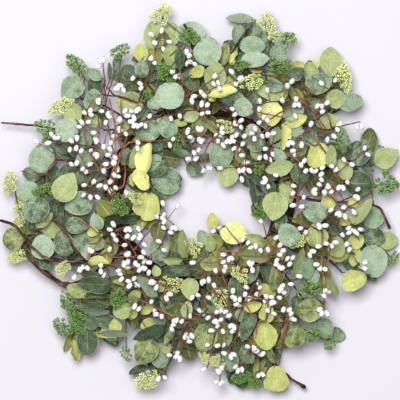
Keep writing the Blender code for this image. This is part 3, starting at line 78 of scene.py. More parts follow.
# Leaves by shade and number of the spray: (foot x, y, z, direction, pitch and roll in degrees, length,
# width). Shades: b blue-green, d dark and p pale blue-green, o olive, y light olive, l lime
LEAVES = {
    "b1": ((157, 25, 68, 121, 0, 0, 34, 26), (260, 55, 24, 60, -6, 27, 34, 22)),
    "b2": (
        (158, 168, 61, 20, -8, 0, 44, 33), (210, 141, 50, 20, -16, -1, 40, 26),
        (98, 80, 61, 160, -4, 0, 34, 26), (125, 121, 72, 30, -11, 0, 36, 24)),
    "b3": (
        (32, 90, 51, -90, -13, 0, 46, 38), (109, 209, 65, 50, -16, 0, 34, 28),
        (98, 174, 78, -15, -1, 0, 30, 20), (51, 145, 72, -27, 3, 6, 32, 28),
        (100, 206, 50, 10, -10, 0, 20, 14), (69, 109, 66, -29, 3, 0, 26, 20)),
    "b4": (
        (54, 234, 56, 80, -11, -23, 33, 22), (-13, 235, 44, 95, -17, 0, 38, 46),
        (81, 273, 25, 175, 0, -52, 42, 28)),
    "b5": (
        (-87, 182, 75, 89, -11, 0, 28, 22), (-57, 124, 71, -60, -4, 0, 36, 30),
        (-57, 150, 76, -155, -2, 0, 24, 20)),
    "b6": (
        (-178, 182, 54, -138, -2, 0, 41, 36), (-58, 108, 67, -170, 1, 0, 40, 32),
        (-148, 183, 45, 150, -15, 13, 28, 18), (-129, 191, 48, 80, -11, -53, 30, 20),
        (-91, 118, 55, 73, 2, 0, 22, 18), (-137, 181, 35, 90, -9, -68, 28, 18)),
    "b7": ((-74, 34, 41, -10, -11, 0, 50, 42), (-182, 51, 69, 48, -3, 0, 30, 24)),
    "b8": (
        (-238, 5, 76, -110, -7, 0, 42, 40), (-201, -35, 84, -10, 0, 0, 36, 26),
        (-161, 2, 68, -160, 3, 9, 44, 38)),
    "b9": (
        (-196, -83, 79, 112, -3, 0, 40, 32), (-185, -78, 71, 67, -6, 0, 34, 26),
        (-151, -46, 69, 107, -3, 0, 28, 22), (-112, -53, 57, 4, -2, 0, 24, 20),
        (-173, -65, 68, -77, 5, 0, 26, 18), (-141, -65, 60, 180, 7, 0, 34, 24),
        (-100, -44, 36, 29, -11, 0, 18, 14)),
    "b10": (
        (-93, -112, 83, -50, -1, 54, 46, 30), (-149, -200, 60, 0, 5, -60, 42, 28),
        (-65, -57, 43, -80, 11, 0, 36, 30), (-176, -167, 62, 0, 12, -64, 42, 28)),
    "b11": ((-69, -216, 49, -70, -13, 0, 42, 30), (-47, -170, 53, 111, -4, -36, 30, 20)),
    "b12": (
        (46, -229, 44, -90, -11, 0, 32, 28), (68, -215, 52, -80, -9, -22, 36, 24),
        (10, -67, 18, 119, -8, 8, 24, 20)),
    "b13": ((72, -126, 68, 60, -1, 52, 32, 21), (74, -165, 69, -148, -3, 0, 26, 20)),
    "b14": (
        (176, -182, 36, -50, -17, 0, 36, 34), (163, -84, 76, -100, -6, 26, 38, 25),
        (173, -103, 62, -100, -5, 25, 30, 20)),
    "b15": ((140, -67, 94, 120, -6, 0, 36, 32), (247, -35, 36, 30, -7, 0, 36, 34)),
    "d1": (
        (231, 53, 60, 50, -14, 10, 40, 26), (218, 25, 49, 0, -10, 0, 44, 38),
        (76, 35, 35, -85, -3, -72, 50, 33), (231, 55, 43, -15, -11, 60, 36, 24),
        (115, 20, 54, -172, -13, 0, 24, 20), (60, 41, 35, -60, 4, -54, 26, 17)),
    "d2": ((157, 104, 68, -56, 2, 0, 30, 24), (131, 108, 62, -18, -2, 0, 30, 20)),
    "d3": (
        (133, 183, 63, 30, -7, 9, 28, 22), (70, 247, 44, 20, -6, -13, 28, 30),
        (29, 154, 66, -10, 4, -37, 42, 28), (93, 239, 38, -20, -1, 15, 22, 15),
        (42, 109, 57, -33, 3, 0, 24, 18), (93, 193, 42, 8, -8, 0, 24, 18)),
    "d4": (
        (-22, 193, 70, -60, -5, 0, 35, 25), (72, 256, 30, 45, -10, 0, 18, 12),
        (18, 68, 25, -160, -8, 41, 28, 18)),
    "d5": (
        (-94, 184, 58, 147, -9, 0, 30, 24), (-30, 225, 75, -90, 15, -41, 32, 21),
        (-20, 54, 21, -30, -5, 0, 28, 24)),
    "d6": ((-161, 132, 57, 87, -6, 0, 36, 30),),
    "d7": ((-175, 75, 67, 77, 0, -9, 30, 22), (-198, 70, 56, 140, -8, -46, 26, 17)),
    "d8": (
        (-240, 37, 39, 170, -9, 0, 30, 24), (-235, 31, 33, 56, 0, 0, 26, 24),
        (-213, 23, 59, 71, 1, 25, 30, 20), (-179, 22, 69, 73, -2, 0, 28, 24),
        (-250, -44, 23, 150, -13, 0, 24, 18), (-205, -25, 46, -120, -9, 0, 22, 16)),
    "d9": (
        (-263, -74, 39, -35, 6, 34, 50, 33), (-144, -27, 61, 0, -1, -63, 56, 37),
        (-195, -75, 47, -80, -3, -21, 26, 17)),
    "d10": (
        (-133, -126, 83, 180, -11, 35, 52, 34), (-170, -194, 47, -90, -10, 0, 42, 34),
        (-172, -154, 53, 0, 10, -34, 40, 26), (-158, -176, 50, -20, 1, 0, 36, 24),
        (-154, -192, 54, 140, -5, 0, 24, 20)),
    "d11": (
        (-55, -187, 84, -153, -13, 50, 52, 34), (-55, -105, 54, 0, -1, -53, 50, 33),
        (-81, -253, 31, -160, -10, -49, 30, 20), (-68, -169, 81, -54, 2, 8, 24, 18)),
    "d12": ((64, -258, 28, -90, -9, 0, 30, 30), (80, -243, 20, -90, -8, 0, 24, 16)),
    "d13": (
        (76, -164, 87, -105, -7, 43, 50, 33), (57, -112, 66, -90, 2, 0, 38, 30),
        (92, -230, 33, -60, -14, 0, 30, 22), (112, -221, 26, -3, -4, -34, 22, 15)),
    "d14": ((195, -201, 11, -20, -10, 0, 30, 24),),
    "d15": (
        (190, -21, 85, 170, -6, 9, 38, 32), (248, -50, 34, -20, -11, 0, 36, 34),
        (199, -22, 58, -80, -7, -44, 42, 28), (124, -18, 50, -99, 4, 0, 30, 20)),
    "p2": ((106, 76, 67, -38, 1, -25, 30, 20),),
    "p3": ((61, 206, 70, 10, -7, 26, 44, 29), (59, 232, 60, 0, -6, 0, 40, 27)),
    "p4": ((8, 201, 72, 80, -10, 0, 46, 44),),
    "p5": ((-24, 163, 84, -160, -3, 0, 46, 42), (-44, 74, 33, -15, -5, -53, 30, 20)),
    "p7": ((-242, 40, 58, 80, 0, 0, 46, 40), (-184, 96, 72, 150, -15, 0, 38, 35)),
    "p8": ((-240, 15, 55, -170, -11, 9, 38, 34),),
    "p9": ((-233, -89, 57, 100, 2, 0, 38, 36),),
    "p15": ((255, -68, 46, -75, -10, 0, 52, 44),),
    "o1": ((202, 52, 31, 40, -10, -17, 26, 20),),
    "o2": ((171, 174, 40, 100, -6, 0, 36, 24), (76, 80, 54, -60, -4, 28, 24, 16)),
    "o3": (
        (-48, 231, 37, 80, -16, 20, 42, 34), (18, 159, 68, 80, 3, -9, 48, 34),
        (-68, 227, 43, 95, -15, -12, 46, 34), (0, 126, 57, -90, -9, 0, 32, 26),
        (35, 202, 57, 85, -11, 41, 36, 24), (39, 167, 54, 60, 3, 0, 26, 18),
        (-54, 218, 25, 100, -16, -41, 28, 18)),
    "o4": (
        (-74, 69, 39, -10, -6, -35, 48, 32), (-147, 108, 68, 139, -9, 0, 30, 20),
        (-100, 99, 67, 132, 4, 0, 24, 20), (-86, 165, 69, 150, -10, 42, 22, 15)),
    "o5": ((-79, 17, 25, -15, -7, -33, 36, 24), (-197, 99, 42, 170, -13, 0, 28, 24)),
    "o6": ((-248, -42, 57, 40, 15, 33, 36, 24), (-140, -117, 70, 170, -9, 50, 42, 28)),
    "o7": (
        (-101, -159, 78, -160, -13, 0, 32, 26), (-60, -30, 40, -100, 11, 9, 36, 28),
        (-171, -146, 52, 150, -7, 0, 34, 24), (-26, -88, 57, 180, 0, 45, 32, 21),
        (-166, -199, 34, -160, -15, -54, 26, 17), (-106, -155, 73, 52, -3, 0, 26, 18),
        (-40, -44, 29, -80, 9, 35, 26, 17), (-67, -128, 68, -27, -4, 0, 16, 12)),
    "o8": (
        (36, -183, 64, -90, -8, 0, 42, 28), (30, -97, 47, 180, 2, 0, 30, 20),
        (-41, -227, 40, -110, -11, -51, 34, 22), (-42, -226, 51, 158, 3, 0, 22, 18),
        (70, -212, 46, -100, -10, 41, 20, 13), (-36, -197, 62, -130, -14, -50, 28, 18),
        (-40, -187, 69, 0, -1, -41, 20, 13)),
    "o9": (
        (140, -165, 67, 0, -7, 0, 46, 36), (108, -82, 76, 180, -6, 50, 52, 34),
        (117, -93, 83, -100, 0, 37, 44, 29), (122, -151, 25, -90, -15, 39, 50, 33),
        (98, -70, 53, 150, -6, 0, 32, 22), (100, -215, 54, -70, -16, -56, 36, 24)),
    "o10": (
        (153, -70, 84, -105, 0, 55, 50, 33), (197, -57, 59, -60, -8, 0, 34, 28),
        (187, -110, 53, -62, -15, -50, 42, 28)),
    "y1": (
        (264, 54, 38, 30, -8, 0, 44, 34), (96, 44, 79, 10, 3, -34, 44, 29),
        (205, 60, 63, -56, -9, -9, 36, 28), (174, 111, 55, 20, -8, 17, 38, 25),
        (120, 25, 61, -60, 0, 0, 34, 24), (193, 48, 88, 85, -1, -37, 34, 22)),
    "y2": (
        (198, 183, 34, 90, -6, 0, 50, 33), (45, 53, 37, -100, -4, 0, 34, 32),
        (186, 152, 58, 0, -14, 0, 36, 30), (132, 158, 64, 170, 6, -19, 48, 32),
        (57, 79, 42, -70, -2, -36, 30, 20)),
    "y3": (
        (-45, 236, 59, -80, 17, 17, 40, 32), (-25, 121, 65, 20, -3, 0, 26, 18),
        (10, 120, 56, -50, -2, -46, 26, 17)),
    "y4": ((-85, 136, 79, 160, -1, -9, 42, 36), (-85, 100, 59, -138, 1, 41, 20, 13)),
    "y5": (
        (-212, -1, 78, 60, 3, 0, 48, 40), (-181, 115, 69, 120, -13, 9, 36, 30),
        (-103, 47, 58, 75, 5, -53, 38, 25)),
    "y6": (
        (-263, -56, 47, -170, -15, 0, 38, 36), (-238, -50, 47, 20, 17, 0, 34, 26),
        (-257, 10, 34, -140, -9, -9, 30, 24)),
    "y7": (
        (-71, -208, 64, -120, -11, 0, 46, 38), (-21, -91, 49, 100, -12, 55, 48, 32),
        (-64, -115, 64, 100, -3, 0, 18, 15)),
    "y8": (
        (12, -183, 83, -100, -14, 0, 46, 36), (-15, -116, 82, -90, 1, 0, 34, 28),
        (18, -79, 27, 100, -8, 31, 30, 20), (-22, -177, 68, 80, 2, 0, 26, 18)),
    "y9": ((148, -183, 60, -110, -8, -9, 42, 38),),
    "y10": (
        (116, 12, 72, -100, -2, 0, 44, 40), (177, -71, 80, 100, -5, -9, 38, 36),
        (230, -37, 61, 55, -6, 57, 50, 33), (267, -58, 23, -10, -11, 0, 36, 28)),
    "l1": (
        (165, 49, 78, 60, 3, -9, 40, 36), (122, 74, 68, 80, -1, -50, 44, 28),
        (128, 113, 68, 20, 6, -30, 34, 22), (188, 13, 69, -73, -4, 0, 28, 22)),
    "l2": (
        (106, 150, 64, -87, -3, 0, 40, 34), (15, 153, 84, 15, -1, 44, 42, 28),
        (49, 202, 57, 80, -13, 54, 32, 21), (175, 196, 32, 90, -7, 0, 18, 12),
        (96, 197, 53, 170, -1, 58, 26, 17), (23, 148, 80, 143, -2, -8, 16, 12),
        (137, 189, 32, 40, -15, 0, 30, 26)),
    "l3": (
        (-16, 184, 86, 30, -8, 0, 26, 18), (-86, 206, 50, 100, -14, 0, 32, 22),
        (-41, 115, 61, 0, -3, 34, 22, 15), (-50, 120, 67, -164, -2, 0, 16, 12)),
    "l4": (
        (-84, 37, 64, 80, 1, 38, 50, 33), (-79, 15, 60, 120, 11, 9, 36, 24),
        (-100, 20, 51, 100, 7, 53, 20, 13)),
    "l5": (
        (-75, 12, 48, -100, 3, 0, 44, 42), (-167, -94, 84, 0, -3, 41, 32, 21),
        (-151, -48, 71, -178, 5, 0, 18, 14)),
    "l6": (
        (-194, -212, 34, -75, -8, 48, 34, 22), (-120, -205, 47, 170, -9, -41, 38, 25),
        (-125, -202, 53, 100, 12, 0, 24, 20), (-198, -203, 21, -105, -16, 59, 32, 21),
        (-105, -179, 64, 70, 9, 0, 24, 16), (-69, -180, 62, -150, -11, 0, 24, 16),
        (-90, -169, 66, 30, -6, -28, 24, 16), (-112, -124, 60, 180, 1, 18, 20, 13)),
    "l7": (
        (112, -250, 42, -80, -11, 0, 42, 40), (94, -181, 72, -80, -11, 0, 46, 36),
        (20, -45, 37, 95, -13, 0, 27, 18), (64, -159, 93, 10, 1, -27, 28, 18),
        (100, -151, 81, -90, -15, 0, 34, 24), (88, -140, 68, 38, 0, 0, 20, 16),
        (107, -128, 68, -90, 2, 8, 20, 14)),
    "l8": (
        (71, -54, 46, 170, -7, -9, 42, 36), (251, -114, 47, -160, 8, 0, 42, 33),
        (226, -70, 46, 40, -8, 0, 26, 24), (203, -30, 54, 0, -14, 9, 30, 20),
        (236, -71, 42, -100, -1, 0, 30, 20), (222, -3, 46, 0, -11, 0, 24, 16),
        (224, -83, 38, -160, 10, 17, 18, 14)),
}

# Stems, twigs and stalks by node, as runs of (x, y, z)
STEMS = {
    "berry_spray_1": (
        ((129, 46, 30), (132, 47, 39), (145, 0, 88), (160, -75, 89)), ((145, 0, 88), (175, 10, 89),
         (185, 25, 89), (245, 72, 58)), ((206, 42, 78), (160, 108, 88), (195, 100, 75)), ((178, 15, 89),
         (203, 0, 83), (230, -42, 69)), ((195, 100, 75), (197, 103, 74), (193, 125, 70), (182, 148, 68)),
        ((134, 38, 48), (100, 58, 78), (75, 53, 63)), ((109, 53, 70), (108, 70, 86), (109, 95, 87)),
        ((196, 108, 73), (212, 111, 66), (241, 118, 51)), ((188, 137, 69), (182, 148, 68), (203, 180, 50)),
        ((163, 103, 87), (140, 90, 88), (150, 30, 88), (142, 12, 87)), ((202, 38, 80), (200, 40, 82),
         (236, 8, 67)), ((85, 55, 69), (57, 50, 56), (36, 48, 45)), ((109, 53, 70), (104, 52, 69),
         (118, 41, 75)), ((185, 142, 69), (180, 140, 67), (168, 125, 76)), ((183, 103, 80), (182, 108, 75),
         (138, 170, 71)), ((188, 157, 63), (172, 155, 70), (150, 178, 69)), ((177, 85, 84), (170, 80, 89),
         (158, 88, 89), (130, 90, 88)), ((185, 25, 89), (180, 28, 89), (135, 68, 88)), ((213, 28, 77),
         (210, 25, 79), (187, 60, 86)), ((169, 8, 88), (172, 1, 88), (158, 27, 88)), ((189, 28, 87),
         (193, 25, 87), (203, 0, 83)), ((193, 25, 87), (196, 27, 85), (220, -8, 75)), ((142, 12, 87),
         (146, 22, 88), (146, -4, 88)), ((144, 4, 83), (130, 2, 87), (150, 15, 88), (157, 28, 88))),
    "berry_spray_2": (
        ((65, 118, 25), (66, 120, 33), (45, 137, 87), (10, 138, 87), (-95, 115, 88)), ((53, 130, 66),
         (97, 115, 88), (103, 90, 87), (102, 25, 71)), ((97, 115, 88), (100, 103, 87), (65, 90, 75)),
        ((4, 137, 87), (8, 120, 81), (30, 100, 71), (65, 75, 68)), ((10, 138, 87), (5, 160, 88),
         (50, 177, 89)), ((97, 115, 88), (150, 150, 79), (170, 133, 77), (190, 103, 77)), ((55, 82, 69),
         (57, 80, 67), (57, 50, 52)), ((65, 75, 68), (68, 78, 70), (68, 50, 58)), ((140, 144, 80),
         (150, 150, 79), (115, 148, 89), (82, 140, 88)), ((133, 149, 84), (122, 148, 88), (133, 172, 76)),
        ((30, 100, 71), (8, 80, 55), (8, 48, 40)), ((47, 135, 82), (52, 118, 86), (92, 68, 77)),
        ((140, 144, 80), (150, 151, 78), (180, 149, 69)), ((82, 140, 88), (77, 133, 88), (125, 122, 88))),
    "berry_spray_3": (
        ((-48, 126, 25), (-49, 128, 33), (-92, 145, 88), (-87, 160, 89), (-61, 240, 62)), ((-63, 134, 52),
         (0, 165, 88), (40, 198, 83)), ((-92, 145, 88), (-140, 160, 78), (-145, 202, 62)), ((-15, 158, 80),
         (-33, 190, 79), (-20, 210, 70)), ((-56, 131, 43), (-9, 85, 58), (-12, 62, 43)), ((-18, 93, 56),
         (-12, 105, 68), (25, 90, 60)), ((-9, 80, 55), (-12, 82, 53), (30, 89, 60)), ((-11, 71, 49),
         (-5, 72, 49), (2, 60, 41), (6, 50, 40))),
    "berry_spray_4": (
        ((-120, 50, 27), (-120, 50, 36), (-120, 60, 87), (-115, 78, 87), (-100, 88, 87), (-60, 88, 72),
         (-22, 95, 67)), ((-115, 78, 87), (-118, 78, 87), (-135, 150, 83)), ((-120, 59, 81), (-148, 40, 88),
         (-173, 85, 88), (-170, 132, 77), (-158, 150, 76)), ((-165, 70, 88), (-151, 75, 88), (-151, 135, 83)),
        ((-151, 75, 88), (-150, 78, 88), (-185, 83, 83), (-215, 88, 69)), ((-122, 96, 86), (-118, 95, 88),
         (-117, 150, 89)), ((-148, 40, 88), (-165, 15, 88), (-168, 35, 88), (-180, 45, 89), (-222, 72, 69)),
        ((-213, 66, 73), (-235, 32, 67), (-270, 44, 49)), ((-120, 58, 76), (-120, 60, 87), (-130, 30, 87),
         (-125, 5, 84)), ((-126, 11, 85), (-135, 6, 87), (-142, 33, 88), (-155, 55, 88)), ((-118, 66, 87),
         (-128, 66, 83), (-139, 120, 85), (-145, 196, 60)), ((-141, 28, 87), (-130, 30, 83), (-90, 150, 84),
         (-73, 198, 75)), ((-131, 9, 86), (-132, 12, 87), (-147, 42, 88), (-151, 72, 88)), ((-148, 48, 88),
         (-145, 39, 88), (-147, 66, 88), (-135, 108, 88)), ((-171, 120, 80), (-174, 118, 76), (-147, 165, 71),
         (-96, 183, 77)), ((-127, 18, 85), (-114, 18, 78), (-111, 42, 80), (-114, 78, 87)), ((-138, 17, 87),
         (-141, 18, 87), (-159, 30, 88), (-180, 69, 88)), ((-128, 36, 87), (-135, 28, 87), (-120, 69, 87),
         (-105, 87, 87)), ((-132, 84, 84), (-135, 81, 84), (-102, 108, 84), (-78, 120, 83)), ((-127, 18, 86),
         (-130, 10, 87), (-124, 60, 87), (-129, 135, 89))),
    "berry_spray_5": (
        ((-115, -60, 27), (-115, -60, 36), (-125, -46, 87), (-105, -65, 83), (-95, -82, 84)), ((-98, -76, 84),
         (-97, -73, 82), (-63, -30, 48)), ((-95, -82, 84), (-120, -105, 84), (-65, -157, 84),
         (-45, -187, 84)), ((-125, -46, 87), (-120, -43, 85), (-95, -35, 69)), ((-63, -30, 48),
         (-60, -22, 44), (-38, -38, 40)), ((-120, -105, 84), (-135, -95, 92), (-160, -98, 93),
         (-184, -110, 82)), ((-121, -50, 86), (-133, -62, 88), (-118, -68, 87)), ((-99, -86, 84),
         (-100, -84, 87), (-128, -86, 88), (-142, -80, 88), (-165, -79, 89)), ((-165, -79, 89),
         (-168, -89, 89), (-153, -66, 88)), ((-153, -66, 88), (-147, -52, 88), (-180, -28, 89))),
    "berry_spray_6": (
        ((-58, -116, 27), (-58, -116, 36), (-50, -120, 87), (-115, -103, 88)), ((-85, -111, 87),
         (-80, -88, 80), (-60, -72, 64), (-48, -43, 44)), ((-84, -105, 86), (-90, -100, 87), (-135, -95, 88)),
        ((-50, -120, 87), (-57, -165, 88), (-25, -176, 89)), ((-25, -176, 89), (-25, -205, 77),
         (-29, -230, 65)), ((-30, -174, 88), (-32, -177, 89), (-100, -143, 88)), ((-57, -165, 88),
         (-60, -170, 89), (-92, -175, 85)), ((-25, -176, 88), (-2, -178, 85), (-30, -196, 81)),
        ((-52, -131, 87), (-28, -124, 76), (-12, -113, 68), (8, -107, 64)), ((-74, -114, 87), (-72, -118, 87),
         (-50, -128, 87)), ((-19, -176, 88), (-18, -154, 88), (-32, -155, 88), (-44, -162, 88))),
    "berry_spray_7": (
        ((40, -119, 26), (39, -116, 35), (40, -130, 87), (26, -90, 64), (27, -75, 55)), ((33, -110, 76),
         (25, -110, 76), (27, -125, 86), (45, -157, 88)), ((30, -130, 86), (12, -137, 87), (70, -145, 88)),
        ((27, -75, 54), (70, -79, 72), (37, -38, 40)), ((12, -137, 87), (5, -153, 88), (33, -190, 88)),
        ((70, -145, 88), (67, -170, 89), (43, -228, 69)), ((12, -162, 88), (0, -172, 88), (-10, -185, 89),
         (-28, -197, 85), (-42, -240, 64), (-60, -262, 51)), ((30, -185, 88), (24, -190, 88), (11, -251, 60)),
        ((33, -190, 88), (33, -200, 83), (30, -272, 49)), ((70, -145, 88), (122, -150, 87), (133, -182, 72)),
        ((54, -202, 78), (82, -212, 72), (62, -244, 60)), ((74, -226, 67), (90, -235, 60), (90, -270, 43)),
        ((133, -182, 72), (124, -215, 62), (119, -248, 48)), ((26, -85, 61), (28, -93, 66), (0, -93, 64)),
        ((99, -148, 88), (101, -150, 89), (98, -180, 82)), ((87, -147, 88), (88, -112, 78), (60, -166, 80),
         (54, -186, 78)), ((110, -149, 88), (113, -143, 85), (98, -180, 78)), ((131, -177, 75),
         (127, -178, 76), (123, -216, 62)), ((98, -180, 82), (86, -180, 85), (82, -212, 72)), ((24, -139, 88),
         (34, -142, 88), (52, -178, 89)), ((69, -151, 88), (66, -152, 100), (82, -178, 98)), ((49, -173, 89),
         (47, -176, 89), (56, -196, 83), (50, -214, 75))),
    "berry_spray_8": (
        ((119, -53, 26), (119, -53, 36), (108, -80, 87), (90, -83, 82), (43, -83, 64)), ((102, -81, 85),
         (103, -93, 91), (30, -107, 79), (0, -109, 78)), ((103, -93, 91), (121, -107, 88), (120, -125, 88),
         (112, -145, 89)), ((114, -64, 56), (181, -30, 89), (182, -95, 82), (182, -130, 73)), ((181, -30, 89),
         (190, -25, 88), (196, -58, 82), (187, -125, 73), (186, -160, 63)), ((190, -25, 88), (195, -25, 86),
         (237, -97, 58)), ((111, -72, 72), (100, -60, 79), (95, -36, 69)), ((203, -39, 80), (216, -14, 73),
         (247, 3, 58), (258, 14, 53), (262, 26, 50), (257, 38, 52))),
    "green_head_spray_1": (
        ((93, 108, 23), (98, 113, 29), (160, 100, 33), (211, 89, 60)), ((103, 112, 29), (121, 199, 58)),
        ((121, 199, 58), (127, 239, 39)), ((120, 193, 56), (88, 196, 58), (62, 199, 75)), ((103, 112, 29),
         (87, 48, 59))),
    "green_head_spray_2": (
        ((-48, 111, 28), (-46, 107, 36), (-37, 89, 50)), ((-46, 107, 35), (-50, 189, 75)), ((-50, 189, 75),
         (-15, 241, 54)), ((-49, 165, 64), (-95, 158, 50), (-140, 158, 40), (-165, 172, 38), (-184, 201, 38)),
        ((-95, 158, 50), (-119, 172, 48), (-121, 196, 50), (-117, 222, 50)), ((-48, 161, 62), (-82, 154, 73)),
    ),
    "green_head_spray_3": (
        ((-138, 8, 27), (-143, 8, 35), (-118, -8, 70)), ((-143, 8, 35), (-230, 12, 59)), ((-230, 12, 59),
         (-228, 107, 48)), ((-231, 12, 59), (-267, -52, 27))),
    "green_head_spray_4": (
        ((-90, -111, 23), (-94, -117, 29), (-40, -168, 73)), ((-78, -131, 42), (-102, -139, 48),
         (-121, -145, 79)), ((-121, -145, 79), (-197, -149, 52)), ((-191, -149, 54), (-186, -167, 44)),
        ((-111, -142, 63), (-111, -229, 49)), ((-186, -167, 44), (-183, -189, 38)), ((-183, -189, 37),
         (-206, -191, 34))),
    "green_head_spray_5": (
        ((64, -121, 24), (66, -125, 32), (119, -166, 33), (162, -200, 46)), ((133, -177, 37), (62, -265, 39)),
        ((66, -260, 39), (82, -271, 33)), ((162, -200, 46), (195, -213, 30))),
    "green_head_spray_6": (
        ((132, -34, 24), (137, -35, 32), (151, -88, 38), (162, -132, 69)), ((137, -35, 32), (213, -2, 35),
         (276, 25, 35)), ((148, -30, 32), (87, -18, 52)), ((98, -20, 48), (102, -17, 56)), ((259, 17, 35),
         (265, -20, 22), (268, -58, 17), (290, -88, 26))),
    "lime_head_spray_1": (
        ((51, 132, 19), (53, 139, 23)), ((53, 139, 23), (38, 109, 69)), ((48, 129, 39), (74, 174, 78)),
        ((70, 165, 71), (-58, 276, 33)), ((74, 174, 78), (215, 184, 32)), ((114, 177, 65), (99, 265, 32)),
        ((104, 238, 43), (113, 244, 49))),
    "lime_head_spray_2": (
        ((-123, -5, 24), (-119, -5, 32)), ((-119, -5, 32), (-166, -59, 58), (-204, -102, 61)),
        ((-119, -5, 32), (-167, 74, 34), (-207, 139, 50)), ((-196, -94, 60), (-271, -32, 33)),
        ((-271, -32, 33), (-283, 28, 32)), ((-249, -50, 41), (-274, -85, 31)), ((-275, -14, 33),
         (-270, -12, 41)), ((-119, -5, 32), (-109, -4, 58), (-96, 3, 74))),
    "lime_head_spray_3": (
        ((2, -122, 27), (2, -117, 34), (-42, -124, 65)), ((-8, -119, 41), (59, -109, 74)), ((28, -114, 59),
         (30, -146, 71)), ((-3, -118, 38), (-9, -68, 37)), ((30, -146, 71), (10, -235, 58)), ((10, -235, 58),
         (24, -240, 49)), ((10, -235, 58), (-20, -222, 50), (-55, -236, 42), (-76, -268, 34))),
    "lime_head_spray_4": (
        ((113, -47, 26), (109, -45, 34), (128, -53, 72), (144, -60, 78)),),
    "blue_spray_1": (
        ((127, 29, 32), (127, 29, 41), (168, 40, 45), (209, 53, 34), (251, 63, 13)), ((127, 29, 41),
         (110, 19, 32), (92, 13, 20))),
    "blue_spray_2": (
        ((103, 79, 28), (103, 79, 37), (138, 101, 45), (176, 119, 35), (213, 138, 16)),),
    "blue_spray_3": (
        ((58, 116, 26), (58, 116, 35), (67, 155, 45), (76, 194, 38), (76, 235, 19)), ((58, 116, 35),
         (46, 100, 31), (41, 79, 18))),
    "blue_spray_4": (
        ((14, 129, 27), (14, 129, 36), (26, 172, 45), (42, 215, 32), (56, 258, 11)),),
    "blue_spray_5": (
        ((-44, 122, 29), (-44, 122, 38), (-64, 155, 57), (-87, 185, 51)), ((-44, 122, 38), (-39, 103, 31),
         (-34, 84, 19))),
    "blue_spray_6": (
        ((-82, 101, 27), (-82, 101, 37), (-112, 122, 45), (-144, 142, 40), (-181, 154, 24)),),
    "blue_spray_7": (
        ((-127, 47, 28), (-130, 48, 37), (-175, 57, 46), (-220, 61, 28)), ((-130, 48, 37), (-92, 42, 50),
         (-62, 16, 31))),
    "blue_spray_8": (
        ((-130, 2, 27), (-130, 2, 36), (-167, 3, 45), (-203, 5, 40), (-240, 10, 23)),),
    "blue_spray_9": (
        ((-121, -47, 28), (-121, -47, 37), (-155, -61, 45), (-191, -71, 40), (-225, -84, 22)),),
    "blue_spray_10": (
        ((-84, -100, 28), (-84, -100, 37), (-110, -132, 45), (-136, -166, 35), (-161, -199, 15)),
        ((-84, -100, 37), (-76, -93, 38), (-72, -84, 32))),
    "blue_spray_11": (
        ((-41, -124, 28), (-41, -124, 37), (-54, -164, 45), (-72, -202, 35), (-87, -242, 14)),
        ((-40, -124, 37), (-34, -122, 42), (-35, -118, 40))),
    "blue_spray_12": (
        ((26, -127, 26), (26, -127, 35), (39, -170, 45), (45, -214, 33), (61, -255, 12)),),
    "blue_spray_13": (
        ((55, -118, 33), (55, -118, 42), (67, -154, 45), (80, -190, 38), (95, -225, 21)),),
    "blue_spray_14": (
        ((100, -83, 26), (100, -83, 35), (128, -113, 45), (153, -145, 36), (174, -182, 17)),),
    "blue_spray_15": (
        ((121, -28, 28), (118, -27, 36)), ((118, -28, 36), (162, -43, 45), (205, -62, 35), (246, -84, 13))),
    "olive_spray_1": (
        ((125, 37, 33), (125, 37, 42)), ((125, 37, 42), (174, 42, 37), (220, 58, 20), (268, 66, 7))),
    "olive_spray_2": (
        ((92, 92, 27), (92, 92, 36), (125, 125, 46), (155, 160, 31), (184, 196, 8)), ((92, 92, 36),
         (72, 68, 25), (53, 45, 7))),
    "olive_spray_3": (
        ((-4, 130, 28), (-4, 130, 37), (-18, 165, 45), (-39, 197, 41), (-66, 227, 24)), ((-4, 130, 37),
         (0, 127, 42), (-3, 124, 40))),
    "olive_spray_4": (
        ((-88, 102, 25), (-90, 104, 34), (-117, 107, 45), (-145, 105, 46)), ((-90, 104, 34), (-74, 87, 34),
         (-56, 71, 19))),
    "olive_spray_5": (
        ((-116, 47, 26), (-113, 46, 34)), ((-113, 46, 34), (-96, 27, 25), (-75, 17, 10))),
    "olive_spray_6": (
        ((-127, -29, 26), (-127, -29, 35), (-173, -36, 46), (-217, -50, 31), (-264, -54, 8)),),
    "olive_spray_7": (
        ((-72, -108, 29), (-72, -108, 38), (-94, -142, 57), (-130, -166, 48), (-160, -194, 29)),
        ((-72, -108, 38), (-48, -97, 30), (-30, -81, 16))),
    "olive_spray_8": (
        ((-2, -130, 28), (-2, -130, 37), (-13, -163, 45), (-24, -195, 43), (-43, -225, 28)), ((-2, -130, 37),
         (12, -104, 34), (13, -78, 17))),
    "olive_spray_9": (
        ((87, -103, 25), (89, -105, 33), (97, -140, 45), (99, -177, 40), (101, -213, 24)), ((89, -105, 33),
         (94, -87, 43), (96, -69, 37))),
    "olive_spray_10": (
        ((124, -39, 28), (124, -39, 38), (169, -53, 52), (217, -52, 36), (263, -63, 14)),),
    "lime_spray_1": (
        ((118, 54, 29), (118, 54, 38), (139, 55, 45), (158, 61, 45)),),
    "lime_spray_2": (
        ((56, 123, 26), (57, 126, 34), (86, 153, 41), (128, 170, 30), (171, 183, 13)),),
    "lime_spray_3": (
        ((-36, 125, 27), (-36, 125, 36), (-48, 153, 45), (-67, 178, 46), (-81, 205, 32)),),
    "lime_spray_4": (
        ((-131, 50, 25), (-137, 52, 32)), ((-137, 52, 32), (-125, 36, 35), (-111, 24, 25))),
    "lime_spray_5": (
        ((-129, -43, 28), (-131, -44, 37), (-136, -50, 62), (-131, -74, 63)), ((-132, -44, 37),
         (-113, -25, 35), (-93, -11, 21))),
    "lime_spray_6": (
        ((-77, -112, 30), (-79, -115, 38), (-114, -146, 41), (-148, -177, 22), (-196, -194, 7)),),
    "lime_spray_7": (
